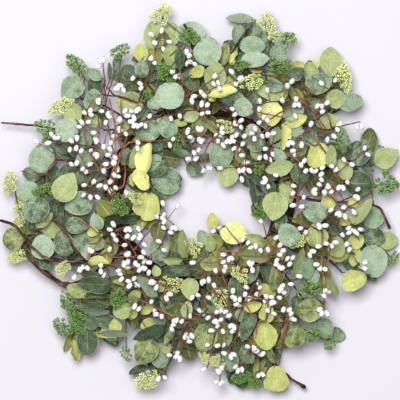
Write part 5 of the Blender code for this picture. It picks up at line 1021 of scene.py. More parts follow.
@dataclass(frozen=True)
class FloretFinish(Finish):
    """Seed heads: bright florets over darker rays, from shade to shade by noise."""

    deep: Colour = (0.03, 0.07, 0.015)
    middle: Colour = (0.12, 0.22, 0.04)
    bright: Colour = (0.3, 0.42, 0.12)
    ray: Colour = (0.1, 0.14, 0.04)
    depth: float = 0.0004

    def paint(self, sheet: Sheet) -> Paint:
        """Lay the florets' shades over the rays.

        Args:
            sheet: the material's tree.

        Returns:
            The colour, the roughness, the relief and the relief's depth in metres.
        """
        place = sheet.place()
        grain = sheet.noise(place, 700.0, 3.0)
        tone = sheet.noise(place, 160.0) * 0.35 + grain * 0.65
        body = sheet.mix(tone.ramp(0.32, 0.48), self.deep, self.middle)
        body = sheet.mix(tone.ramp(0.48, 0.6), body, self.bright)
        colour = sheet.mix(sheet.attribute("bloom").ramp(0.2, 0.8), self.ray, body)
        return colour, self.rough(grain), grain, self.depth


BLUE_LEAF = LeafFinish("blue_leaf", 0.55, (0.019, 0.043, 0.007), (0.155, 0.225, 0.128), (0.305, 0.385, 0.27),
                       (0.45, 0.54, 0.41), (0.3, 0.37, 0.27), 0.58, 0.22)
OLIVE_LEAF = LeafFinish("olive_leaf", 0.55, (0.05, 0.06, 0.01), (0.235, 0.278, 0.102), (0.36, 0.42, 0.2),
                        (0.48, 0.54, 0.28), (0.33, 0.37, 0.2), 0.55, 0.38)
LIME_LEAF = LeafFinish("lime_leaf", 0.55, (0.16, 0.175, 0.03), (0.36, 0.385, 0.1), (0.7, 0.72, 0.26),
                       (0.68, 0.69, 0.35), (0.42, 0.44, 0.16), 0.42)
LEAF_STEM = BarkFinish("leaf_stem", 0.6, (0.025, 0.014, 0.008), (0.1, 0.075, 0.03), (0.2, 0.22, 0.1), 0.45)
# The paler colour of the vines and the dark twigs is a painted red-brown highlight
VINE_BARK = BarkFinish("vine_bark", 0.7, (0.008, 0.004, 0.003), (0.08, 0.037, 0.024), (0.3, 0.155, 0.1), 0.45)
DARK_BARK = BarkFinish("dark_twig_bark", 0.6, (0.016, 0.007, 0.006), (0.13, 0.052, 0.036), (0.34, 0.2, 0.15),
                       0.5)
BERRY_TWIG = BarkFinish("berry_twig_bark", 0.55, (0.06, 0.02, 0.013), (0.285, 0.105, 0.06),
                        (0.38, 0.23, 0.16), 0.35)
HEAD_STEM = BarkFinish("head_stem", 0.6, (0.035, 0.032, 0.012), (0.14, 0.15, 0.05), (0.3, 0.34, 0.14), 0.4)
WHITE_BERRY = BerryFinish("white_berry", 0.4)
GREEN_FLORET = FloretFinish("green_floret", 0.6, (0.03, 0.085, 0.012), (0.13, 0.26, 0.055),
                            (0.36, 0.52, 0.19), (0.12, 0.22, 0.05))
LIME_FLORET = FloretFinish("lime_floret", 0.6, (0.34, 0.43, 0.1), (0.66, 0.71, 0.27), (0.88, 0.88, 0.56),
                           (0.44, 0.55, 0.15))


def leaf_frame(direction: float, pitch: float, roll: float) -> Matrix:
    """Return a leaf's turn.

    Args:
        direction: the tip's direction round Z, in radians.
        pitch: how far the tip is raised.
        roll: how far the blade is turned about its midrib.

    Returns:
        The turn whose X runs from foot to tip and whose Z is the blade's upper side.
    """
    along = Vector((math.cos(direction) * math.cos(pitch), math.sin(direction) * math.cos(pitch),
                    math.sin(pitch)))
    across = Vector((math.sin(direction), -math.cos(direction), 0.0))
    up = across.cross(along)
    lean, rise = math.cos(roll), math.sin(roll)
    across, up = across * lean + up * rise, up * lean - across * rise
    return Matrix((along, -across, up)).transposed()


def new_object(name: str, points: list, edges: list, faces: list) -> Item:
    """Make a mesh object in the scene.

    Args:
        name: the object's name.
        points: its points.
        edges: its edges, where it has no faces.
        faces: its faces.

    Returns:
        The object.
    """
    mesh = bpy.data.meshes.new(name)
    mesh.from_pydata(points, edges, faces)
    item = bpy.data.objects.new(name, mesh)
    bpy.context.scene.collection.objects.link(item)
    return item


def store(mesh: bpy.types.Mesh, name: str, kind: str, values: list, domain: str = "POINT") -> None:
    """Give a mesh an attribute.

    Args:
        mesh: the mesh.
        name: the attribute's name.
        kind: FLOAT, INT, BOOLEAN or FLOAT_VECTOR.
        values: one value for each element.
        domain: POINT or FACE.
    """
    attribute = mesh.attributes.new(name, kind, domain)
    attribute.data.foreach_set("vector" if kind == "FLOAT_VECTOR" else "value",
                               np.array(values).ravel())


def smooth_over(mesh: bpy.types.Mesh, places: list) -> None:
    """Give a mesh the UV map "blade", one place for each corner, and shade it smooth."""
    mesh.uv_layers.new(name="blade").data.foreach_set("uv", np.array(places).ravel())
    mesh.polygons.foreach_set("use_smooth", [True] * len(mesh.polygons))


@dataclass
class Blade:
    """The shape of a leaf 1 long and 1 wide, thin and closed, with its foot at the origin."""

    form: LeafForm
    rings: int = 8
    lanes: int = 6
    thickness: float = 0.028
    crease: float = 0.012  # how deep the midrib lies

    def point(self, along: float, across: float, side: float) -> tuple[float, float, float]:
        """Return a point of the blade.

        Args:
            along: from 0 at the foot to 1 at the tip.
            across: from -1 at one edge to 1 at the other.
            side: 1 on the upper side, -1 on the underside.

        Returns:
            The point.
        """
        cut = OUTLINES[self.form]
        seed = self.form.value * 1.7
        half = 0.5 * math.sin(math.pi * along ** cut.belly) ** cut.fullness if 0 < along < 1 else 0.0
        wave = cut.wave * math.sin(2 * math.pi * cut.waves * along + seed + (1.3 if across > 0 else 0.0))
        edge = abs(across) ** 1.6
        height = cut.cup * edge * half * 2 + wave * edge * abs(across) * min(1.0, half * 3)
        height -= cut.droop * along * along + cut.twist * across * (along - 0.4) * half
        height -= self.crease * math.exp(-(across * 5) ** 2) * side * min(1.0, half * 4)
        round_off = min(1.0, half * 4 + 0.3)
        height += side * self.thickness / 2 * math.sqrt(max(0.0, 1 - across * across)) * round_off
        reach = along - cut.notch * max(0.0, along - 0.75) * 4 * math.exp(-(across * 3) ** 2)
        y = across * half * (1 + cut.ragged * math.sin((5 if across > 0 else 8) * along + seed))
        return reach, y, height

    def make(self) -> Item:
        """Build the blade.

        Returns:
            A mesh object with the UV map "blade" and the face attribute "under".
        """
        stations = [(1 - math.cos(math.pi * ring / self.rings)) / 2 for ring in range(self.rings + 1)]
        lanes = [math.sin(math.pi / 2 * (2 * lane / self.lanes - 1)) for lane in range(self.lanes + 1)]
        points, keys, index = [], [], {}
        for side in (1, -1):
            for ring, along in enumerate(stations):
                for lane, across in enumerate(lanes):
                    pole = ring in (0, self.rings)
                    rim = lane in (0, self.lanes)
                    key = (ring, 0, 0) if pole else (ring, lane, 0 if rim else side)
                    if key not in index:
                        index[key] = len(points)
                        points.append(self.point(along, 0.0 if pole else across, 0 if pole or rim else side))
                    keys.append(key)
        faces, uvs, under = [], [], []
        count = self.lanes + 1
        for side, start in ((1, 0), (-1, count * (self.rings + 1))):
            for ring in range(self.rings):
                for lane in range(self.lanes):
                    corners = [(ring, lane), (ring + 1, lane), (ring + 1, lane + 1), (ring, lane + 1)]
                    corners = corners if side == 1 else corners[::-1]
                    face, marks = [], []
                    for a, b in corners:
                        number = index[keys[start + a * count + b]]
                        if number not in face:
                            face.append(number)
                            marks.append((stations[a], (lanes[b] + 1) / 2))
                    faces.append(face)
                    uvs += marks
                    under.append(0.0 if side == 1 else 1.0)
        item = new_object(f"blade_{self.form.name.lower()}", points, [], faces)
        smooth_over(item.data, uvs)
        store(item.data, "under", "FLOAT", under, "FACE")
        sides: dict = {}
        for face, side in zip(faces, under):
            for a, b in zip(face, face[1:] + face[:1]):
                sides.setdefault((min(a, b), max(a, b)), set()).add(side)
        rim = [len(sides[tuple(sorted(edge.vertices))]) == 2 for edge in item.data.edges]
        store(item.data, "sharp_edge", "BOOLEAN", rim, "EDGE")
        return item


@dataclass
class Spindle:
    """A shape turned about Z: a berry or a floret."""

    name: str
    profile: tuple  # (height, radius) from foot to tip, the ends on the axis
    sides: int = 8

    def make(self) -> Item:
        """Build the shape.

        Returns:
            A closed mesh object with the UV map "blade".
        """
        low, high = self.profile[0][0], self.profile[-1][0]
        points = [Vector((0.0, 0.0, low))]
        for height, radius in self.profile[1:-1]:
            points += [polar(radius, 2 * math.pi * side / self.sides, height) for side in range(self.sides)]
        points.append(Vector((0.0, 0.0, high)))
        faces = []
        last = len(points) - 1
        for side in range(self.sides):
            beside = (side + 1) % self.sides
            faces.append((0, 1 + beside, 1 + side))
            for ring in range(len(self.profile) - 3):
                foot = 1 + ring * self.sides
                head = foot + self.sides
                faces.append((foot + side, foot + beside, head + beside, head + side))
            faces.append((last - self.sides + side, last - self.sides + beside, last))
        item = new_object(self.name, points, [], faces)
        smooth_over(item.data, [((points[loop.vertex_index].z - low) / (high - low), 0.5)
                                for loop in item.data.loops])
        return item


# The berry, and the floret and the ray of a seed head
DROP = Spindle("drop", ((-0.5, 0.0), (-0.44, 0.34), (-0.28, 0.78), (-0.05, 1.0), (0.2, 0.9), (0.38, 0.6),
                        (0.46, 0.26), (0.5, 0.0)))
FLORET = Spindle("floret", ((-0.05, 0.0), (0.0, 0.076), (0.07, 0.064), (0.11, 0.0)), 4)
RAY = Spindle("ray", ((-1.0, 0.0), (-0.95, 0.024), (-0.05, 0.024), (0.0, 0.0)), 3)


class ShapeTray:
    """A collection of shapes for instancing, kept out of the scene."""

    def __init__(self, name: str, shapes: list[Item]) -> None:
        """Move the shapes to a collection.

        Args:
            name: the collection's name.
            shapes: the shapes, in the order of their numbers.
        """
        self.collection = bpy.data.collections.new(name)
        for number, shape in enumerate(shapes):
            shape.name = f"{number:02d}_{shape.name}"
            bpy.context.scene.collection.objects.unlink(shape)
            self.collection.objects.link(shape)

    def empty(self) -> None:
        """Remove the shapes, after the last piece that uses them."""
        for shape in list(self.collection.objects):
            bpy.data.objects.remove(shape)
        bpy.data.collections.remove(self.collection)


PLAN_MARKS = (("girth", "FLOAT"), ("carries", "BOOLEAN"), ("turn", "FLOAT_VECTOR"), ("size", "FLOAT_VECTOR"),
              ("form", "INT"), ("tone", "FLOAT"))  # what a plan tells of each point
OUTPUT_MARK = "tone"  # the one that the materials read


class ShapeTree:
    """A geometry tree with named inputs."""

    def __init__(self, name: str, inputs: tuple) -> None:
        """Start the tree.

        Args:
            name: the tree's name.
            inputs: (name, socket type, first value or None) of each input.
        """
        self.tree = bpy.data.node_groups.new(name, "GeometryNodeTree")
        self.inputs = {}
        for way in ("OUTPUT", "INPUT"):
            self.tree.interface.new_socket("Geometry", in_out=way, socket_type="NodeSocketGeometry")
        for label, kind, value in inputs:
            socket = self.tree.interface.new_socket(label, in_out="INPUT", socket_type=kind)
            self.inputs[label] = socket.identifier
            if value is not None:
                socket.default_value = value
        self.sheet = Sheet(self.tree)
        self.given = self.sheet.node("NodeGroupInput").outputs

    def grow(self, item: Item, name: str, values: dict) -> Item:
        """Return what the tree makes of an object, as a plain mesh object in its place.

        Args:
            item: the object, which is removed.
            name: the result's name.
            values: the tree's inputs by name.

        Returns:
            The result.
        """
        modifier = item.modifiers.new("growth", "NODES")
        modifier.node_group = self.tree
        for key, value in values.items():
            modifier[self.inputs[key]] = value
        graph = bpy.context.evaluated_depsgraph_get()
        mesh = bpy.data.meshes.new_from_object(item.evaluated_get(graph), depsgraph=graph)
        item.modifiers.remove(modifier)
        mesh.name = name
        bpy.data.objects.remove(item)
        for mark, _ in PLAN_MARKS:
            if mark in mesh.attributes and mark != OUTPUT_MARK:
                mesh.attributes.remove(mesh.attributes[mark])
        result = bpy.data.objects.new(name, mesh)
        bpy.context.scene.collection.objects.link(result)
        return result


class GrowthTree(ShapeTree):
    """The geometry tree that turns a plan of lines and points into stems and what they carry."""

    def __init__(self) -> None:
        """Build the tree."""
        super().__init__("grow_plan", (
            ("Shapes", "NodeSocketCollection", None), ("Stem Sides", "NodeSocketInt", 6),
            ("Steps", "NodeSocketInt", 4), ("Stem Material", "NodeSocketMaterial", None),
            ("Shape Material", "NodeSocketMaterial", None)))
        sheet, given = self.sheet, self.given
        carries = sheet.field("carries", "BOOLEAN")
        apart = sheet.node("GeometryNodeSeparateGeometry", {0: given[0], 1: carries}).outputs
        lines = sheet.out("GeometryNodeMeshToCurve", {0: apart[1]})
        lines = sheet.out("GeometryNodeCurveSplineType", {0: lines}, spline_type="CATMULL_ROM")
        spline = sheet.node("GeometryNodeSplineParameter").outputs
        lines = sheet.keep(lines, "travel", spline["Length"])
        lines = sheet.out("GeometryNodeSetSplineResolution", {
            "Geometry": lines, "Resolution": given["Steps"]})
        hoop = sheet.out("GeometryNodeCurvePrimitiveCircle", {
            "Resolution": given["Stem Sides"], "Radius": 1.0}, mode="RADIUS")
        hoop = sheet.keep(hoop, "around", spline["Factor"])
        stems = sheet.out("GeometryNodeCurveToMesh", {
            "Curve": lines, "Profile Curve": hoop, "Scale": sheet.field("girth", "FLOAT"), "Fill Caps": True})
        stems = sheet.keep(stems, "woody", True, "BOOLEAN", "FACE")
        tray = sheet.out("GeometryNodeCollectionInfo", {
            "Collection": given["Shapes"], "Separate Children": True, "Reset Children": True})
        turn = sheet.out("FunctionNodeEulerToRotation", {0: sheet.field("turn", "FLOAT_VECTOR")})
        borne = sheet.out("GeometryNodeInstanceOnPoints", {
            "Points": apart[0], "Instance": tray, "Pick Instance": True, "Rotation": turn,
            "Instance Index": sheet.field("form", "INT"), "Scale": sheet.field("size", "FLOAT_VECTOR")})
        dressed = sheet.out("GeometryNodeSetMaterial", {
            0: sheet.join(borne, stems), "Material": given["Shape Material"]})
        dressed = sheet.out("GeometryNodeSetMaterial", {
            0: dressed, "Selection": sheet.field("woody", "BOOLEAN"), "Material": given["Stem Material"]})
        sheet.node("NodeGroupOutput", {0: dressed})


@dataclass
class Stock:
    """What a piece is grown with."""

    tree: GrowthTree
    bark: Material
    steps: int  # between two points of a stem
    sides: int = 6  # of a stem
    skin: "Material | None" = None  # of the shapes that it carries
    tray: "ShapeTray | None" = None


@dataclass
class Plan:
    """Lines and points from which one piece grows."""

    points: list = field(default_factory=list)
    edges: list = field(default_factory=list)
    marks: list = field(default_factory=list)

    def add(self, place: Vector, tone: float, girth: float = 0.0, carries: bool = False,
            turn: Vector = Vector(), size: tuple = (1.0, 1.0, 1.0), form: int = 0) -> None:
        """Add a point; lengths are in millimetres.

        Args:
            place: where it is.
            tone: how light it is, from 0 to 1.
            girth: the stem's radius there.
            carries: whether a shape grows there, with its origin on the point.
            turn: the shape's Euler angles.
            size: its scale along each axis.
            form: its number in the tray.
        """
        self.points.append((place + Vector((*PLAN_SHIFT, 0.0))) * MM)
        scale = tuple(length * MM for length in size)
        self.marks.append((girth * MM, carries, tuple(turn), scale, form, tone))

    def line(self, path: Path, radii: list[float], tone: float = 0.5) -> None:
        """Add a stem along a path.

        Args:
            path: its points.
            radii: its radius at each point.
            tone: how light its bark is, from 0 to 1.
        """
        first = len(self.points)
        for place, radius in zip(path, radii):
            self.add(place, tone, radius)
        self.edges += [(number, number + 1) for number in range(first, len(self.points) - 1)]

    def bear(self, place: Vector, turn: Vector, size: tuple, form: int, tone: float) -> None:
        """Add a point that carries a shape, as add says."""
        self.add(place, tone, 0.0, True, turn, size, form)

    def grow(self, node: str, ending: str, slot: str, stock: Stock) -> None:
        """Grow the piece that stands for a CAD node, attach it, hide the node and report it.

        Args:
            node: the node that it replaces.
            ending: the last word of its name.
            slot: not used.
            stock: what it is grown with.
        """
        name = f"{node}_{ending}"
        item = new_object(f"{name}_plan", self.points, self.edges, [])
        for (mark, kind), values in zip(PLAN_MARKS, zip(*self.marks)):
            store(item.data, mark, kind, values)
        values = {"Stem Sides": stock.sides, "Steps": stock.steps, "Stem Material": stock.bark,
                  "Shape Material": stock.skin or stock.bark}
        if stock.tray:
            values["Shapes"] = stock.tray.collection
        piece = stock.tree.grow(item, name, values)
        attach(piece, "root")
        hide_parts(node)
        log.info("%s: %d faces", piece.name, len(piece.data.polygons))


class UmbelTree(ShapeTree):
    """The geometry tree that sets florets and their rays on a dome."""

    density = 400.0  # points to the square unit, before the spacing thins them
    largest = 1.25  # scale of the largest floret

    def __init__(self) -> None:
        """Build the tree."""
        super().__init__("set_umbel", (
            ("Floret", "NodeSocketObject", None), ("Ray", "NodeSocketObject", None),
            ("Spacing", "NodeSocketFloat", 0.2), ("Seed", "NodeSocketInt", 1),
            ("Smallest", "NodeSocketFloat", 0.8), ("Hub Depth", "NodeSocketFloat", 0.45),
            ("Material", "NodeSocketMaterial", None)))
        sheet, given = self.sheet, self.given
        spread = sheet.node("GeometryNodeDistributePointsOnFaces", {
            0: given[0], "Distance Min": given["Spacing"], "Density Max": self.density,
            "Seed": given["Seed"]},
            distribute_method="POISSON").outputs
        grown = sheet.node("FunctionNodeRandomValue", {
            2: given["Smallest"], 3: self.largest, "Seed": given["Seed"]}, data_type="FLOAT").outputs[1]
        floret = sheet.node("GeometryNodeObjectInfo", {"Object": given["Floret"]}).outputs["Geometry"]
        florets = sheet.out("GeometryNodeInstanceOnPoints", {
            "Points": spread["Points"], "Instance": floret, "Rotation": spread["Rotation"], "Scale": grown})
        florets = sheet.out("GeometryNodeRealizeInstances", {0: florets})
        known = sheet.node("GeometryNodeInputNamedAttribute", {"Name": "bloom"}, data_type="FLOAT").outputs
        bloom = sheet.out("GeometryNodeSwitch", {
            "Switch": known["Exists"], "False": 1.0, "True": known["Attribute"]}, input_type="FLOAT")
        florets = sheet.keep(florets, "bloom", bloom)
        depth = sheet.out("ShaderNodeCombineXYZ", {2: given["Hub Depth"]})
        place = sheet.out("GeometryNodeInputPosition")
        reach = sheet.out("ShaderNodeVectorMath", {0: place, 1: depth}, operation="ADD")
        length = sheet.node("ShaderNodeVectorMath", {0: reach}, operation="LENGTH").outputs["Value"]
        aim = sheet.out("FunctionNodeAlignRotationToVector", {"Vector": reach}, axis="Z")
        stretch = sheet.out("ShaderNodeCombineXYZ", {0: 1.0, 1: 1.0, 2: length})
        ray = sheet.node("GeometryNodeObjectInfo", {"Object": given["Ray"]}).outputs["Geometry"]
        rays = sheet.out("GeometryNodeInstanceOnPoints", {
            "Points": spread["Points"], "Instance": ray, "Rotation": aim, "Scale": stretch})
        rays = sheet.out("GeometryNodeRealizeInstances", {0: rays})
        dressed = sheet.out("GeometryNodeSetMaterial", {
            0: sheet.join(florets, rays), "Material": given["Material"]})
        sheet.node("NodeGroupOutput", {0: dressed})


@dataclass
class Umbels:
    """The seed heads' shapes, 1 in radius: rays from a hub to small clusters of florets."""

    tree: UmbelTree
    material: Material
    gap: float = 0.5  # between the clusters
    radius: float = 0.8  # of the dome that the clusters stand on
    reach: float = 92.0  # how far round that dome comes from its top, in degrees
    smallest: float = 0.6  # scale of the smallest cluster
    hub: float = 0.55  # how far under the dome's centre the rays meet
    cluster_gap: float = 0.16  # the same for the florets of a cluster
    cluster_radius: float = 0.23
    cluster_reach: float = 100.0
    cluster_smallest: float = 0.8
    cluster_hub: float = 0.2
    count: int = 4
    bulge: float = 0.3
    rings: int = 7
    sides: int = 12
    crown: float = 0.85  # how high the front of a dome is
    nape: float = 0.55  # and how deep its back

    def dome(self, name: str, radius: float, reach: float, seed: int) -> Item:
        """Build a lumpy dome to set florets on.

        Args:
            name: its name.
            radius: its radius.
            reach: how far round it comes from its top, in degrees.
            seed: the seed of its lumps.

        Returns:
            The dome.
        """
        rng = random.Random(SEED + seed)
        points, faces = [], []
        turns = [rng.uniform(0, 2 * math.pi) for _ in range(2)]
        for ring in range(self.rings + 1):
            lean = math.radians(reach) * ring / self.rings
            for side in range(self.sides):
                turn = 2 * math.pi * side / self.sides
                lump = 1 + self.bulge * (math.sin(2 * turn + turns[0]) * math.sin(lean) +
                                         0.6 * math.sin(3 * turn + turns[1] + 2 * lean)) * min(1.0, lean)
                height = radius * lump * math.cos(lean) * (self.crown if lean < math.pi / 2 else self.nape)
                points.append(polar(radius * lump * math.sin(lean), turn, height))
        for low in range(0, self.rings * self.sides, self.sides):
            for side in range(self.sides):
                beside = (side + 1) % self.sides
                faces.append((low + beside, low + side, low + self.sides + side, low + self.sides + beside))
        return new_object(name, points, [], faces)

    def make(self) -> list[Item]:
        """Build the shapes.

        Returns:
            The shapes.
        """
        floret, ray = FLORET.make(), RAY.make()
        umbels = []
        for number in range(self.count):
            small = self.dome("cluster", self.cluster_radius, self.cluster_reach, 10 + number)
            cluster = self.tree.grow(small, "cluster", {
                "Floret": floret, "Ray": ray, "Spacing": self.cluster_gap, "Seed": 3 + number,
                "Smallest": self.cluster_smallest, "Hub Depth": self.cluster_hub, "Material": self.material})
            large = self.dome("umbel", self.radius, self.reach, number)
            umbels.append(self.tree.grow(large, f"umbel_{number}", {
                "Floret": cluster, "Ray": ray, "Spacing": self.gap, "Seed": 11 + number,
                "Smallest": self.smallest, "Hub Depth": self.hub, "Material": self.material}))
            bpy.data.objects.remove(cluster)
        bpy.data.objects.remove(floret)
        bpy.data.objects.remove(ray)
        return umbels


@dataclass
class GrapevineRing:
    """The ring of wound vines that everything is pushed into."""

    stock: Stock
    radius: float = 130.0
    section: float = 17.0
    waves: tuple = ((2, 2.6, 0.6), (5, 1.8, 0.0))  # (waves round the ring, depth, phase) of its radius
    vines: int = 13  # in the outer layer
    inner_vines: int = 5
    thick: tuple = (2.3, 3.9)  # radii of the outer vines
    inner_thick: tuple = (3.4, 4.6)
    inner_out: float = 5.0  # how far the inner vines are from the section's middle
    play: float = 2.0  # how much deeper than the others an outer vine may lie
    rounds: tuple = (0.8, 1.15)  # how often an outer vine goes round the ring
    windings: tuple = (-3, 2, 3, 4)  # how often a vine goes round the section in a round
    steps: int = 110
    ends: float = 9.0  # at each end a vine tapers over one part in this many of its length
    end_out: float = 0.6  # how far out an end lies, where the rest lies at 1
    end_thick: float = 0.45  # and how thick it is
    # Loose vines: start and sweep round the ring and round its section, in radians, and their rise
    loose: tuple = ((-0.031, 0.89, 1.105, 1.352, 1.718), (1.662, 0.96, 0.211, 0.913, 1.601),
                    (3.066, 0.968, 0.529, 1.083, 1.945), (4.858, 0.781, 1.139, 0.932, 2.309))
    loose_steps: int = 12
    loose_radius: float = 2.2
    loose_lift: float = 2.7  # the least height of a loose vine's middle line
    sink: float = 5.0  # how deep in the ring a loose vine starts

    def spot(self, angle: float, out: float, turn: float, thick: float) -> Vector:
        """Return a point in the ring's section, kept above the ground by a vine's thickness.

        Args:
            angle: its angle round the ring.
            out: how far it is from the section's middle.
            turn: its angle round the section.
            thick: the vine's radius.

        Returns:
            The point.
        """
        wave = sum(depth * math.sin(count * angle + phase) for count, depth, phase in self.waves)
        height = max(thick * 1.15, RING_LIFT + out * math.sin(turn))
        return polar(self.radius + wave + out * math.cos(turn), angle, height)

    def wound(self, plan: Plan, rng: random.Random) -> None:
        """Add the vines that wind round the ring, an outer and an inner layer.

        Args:
            plan: the ring's plan.
            rng: the random source.
        """
        for number in range(self.vines + self.inner_vines):
            inner = number >= self.vines
            thick = rng.uniform(*(self.inner_thick if inner else self.thick))
            out = self.inner_out if inner else self.section - thick - rng.uniform(0.0, self.play)
            start = rng.uniform(0, 2 * math.pi)
            sweep = 2 * math.pi * (1.0 if inner else rng.uniform(*self.rounds))
            turns = rng.choice(self.windings) * sweep
            begin = 2 * math.pi * number / (self.inner_vines if inner else self.vines)
            path, radii = [], []
            for step in range(self.steps + 1):
                share = step / self.steps
                angle = start + sweep * share
                sway = math.sin(7 * angle + number * 1.3) * 0.8 + math.sin(17 * angle + number) * 0.4
                end = min(1.0, share * self.ends, (1 - share) * self.ends)
                reach = (out + sway) * (self.end_out + (1 - self.end_out) * end)
                path.append(self.spot(angle, reach, begin + turns * share, thick))
                knots = 1 + 0.12 * math.sin(23 * angle + number * 2)
                radii.append(thick * (self.end_thick + (1 - self.end_thick) * end) * knots)
            plan.line(path, radii, rng.uniform(0.2, 0.9))

    def arched(self, plan: Plan, rng: random.Random) -> None:
        """Add the loose vines that leave the ring and go back in.

        Args:
            plan: the ring's plan.
            rng: the random source.
        """
        for start, sweep, turn_from, turn_by, rise in self.loose:
            path = []
            for step in range(self.loose_steps + 1):
                share = step / self.loose_steps
                arch = math.sqrt(max(0.0, math.sin(math.pi * share)))
                out = self.section - self.sink + (rise + self.sink) * arch
                turn = turn_from + turn_by * share
                height = max(self.loose_lift, RING_LIFT + out * math.sin(turn))
                path.append(polar(self.radius + out * math.cos(turn), start + sweep * share, height))
            plan.line(path, [self.loose_radius] * len(path), rng.uniform(0.5, 1.0))

    def build(self) -> None:
        """Build and dress the ring."""
        rng = random.Random(SEED)
        plan = Plan()
        self.wound(plan, rng)
        self.arched(plan, rng)
        plan.grow("vine_ring", "wound", "vine", self.stock)


@dataclass
class DarkTwigs:
    """The bare dark twigs, each from the ring outwards, with knots and buds."""

    stock: Stock
    bud_tip: float = 0.4  # how thin the last bud ends

    def build(self) -> None:
        """Build and dress the twigs."""
        for number, runs in enumerate(DARK_TWIGS):
            rng = random.Random(SEED + number)
            plan = Plan()
            for run in runs:
                self.twig(plan, run, rng)
            plan.grow(f"dark_twig_{number + 1}", "bark", "dark_twig", self.stock)

    def twig(self, plan: Plan, run: tuple, rng: random.Random) -> None:
        """Add one twig, which ends in a bud.

        Args:
            plan: the piece's plan.
            run: its points, as (x, y, z, radius).
            rng: the random source.
        """
        path, radii = gnarled([Vector(point[:3]) for point in run], [point[3] for point in run], rng)
        path.append(path[-1] + (path[-1] - path[-2]).normalized() * radii[-1])
        plan.line(path, radii + [radii[-1] * self.bud_tip], rng.uniform(0.3, 0.8))


CORNER_CUTS = (0.25, 0.75)  # where a stretch is cut to round its corners
BUDDED = 0.25  # how many of a twig's steps are swollen


def stem_radii(count: int, root: float, tip: float) -> list[float]:
    """Return radii that run evenly from root to tip."""
    return [root + (tip - root) * step / max(1, count - 1) for step in range(count)]


def gnarled(path: Path, radii: list[float], rng: random.Random, stride: float = 7.0,
            sway: float = 0.5, bud: float = 1.3) -> tuple[Path, list[float]]:
    """Round a path's corners and break it into short steps that waver, swollen at the buds.

    Args:
        path: its points.
        radii: its radius at each point.
        rng: the random source.
        stride: about how long a step is.
        sway: how far a step strays along each axis.
        bud: how many times thicker a bud is.

    Returns:
        The new points and radii.
    """
    cut, thinned = [path[0]], [radii[0]]
    for near, far, thick, thin in zip(path, path[1:], radii, radii[1:]):
        for share in CORNER_CUTS:
            cut.append(near.lerp(far, share))
            thinned.append(thick + (thin - thick) * share)
    path, radii = cut + [path[-1]], thinned + [radii[-1]]
    points, girths = [], []
    for near, far, thick, thin in zip(path, path[1:], radii, radii[1:]):
        count = max(1, round((far - near).length / stride))
        for step in range(count):
            share = step / count
            points.append(near.lerp(far, share) +
                          (Vector([rng.uniform(-sway, sway) for _ in range(3)]) if step else Vector()))
            girths.append((thick + (thin - thick) * share) * (bud if step and rng.random() < BUDDED else 1.0))
    return points + [path[-1]], girths + [radii[-1]]


def nearest(place: Vector, runs: list[Path]) -> Vector:
    """Find where a stalk leaves its stem.

    Args:
        place: where the stalk ends.
        runs: the paths that it may leave.

    Returns:
        The point of the runs that is nearest to the place.
    """
    best = runs[0][-1]
    for run in runs:
        for near, far in zip(run[-2::-1], run[:0:-1]):
            step = far - near
            share = max(0.0, min(1.0, (place - near).dot(step) / step.length_squared))
            spot = near + step * share
            if (spot - place).length < (best - place).length:
                best = spot
    return best


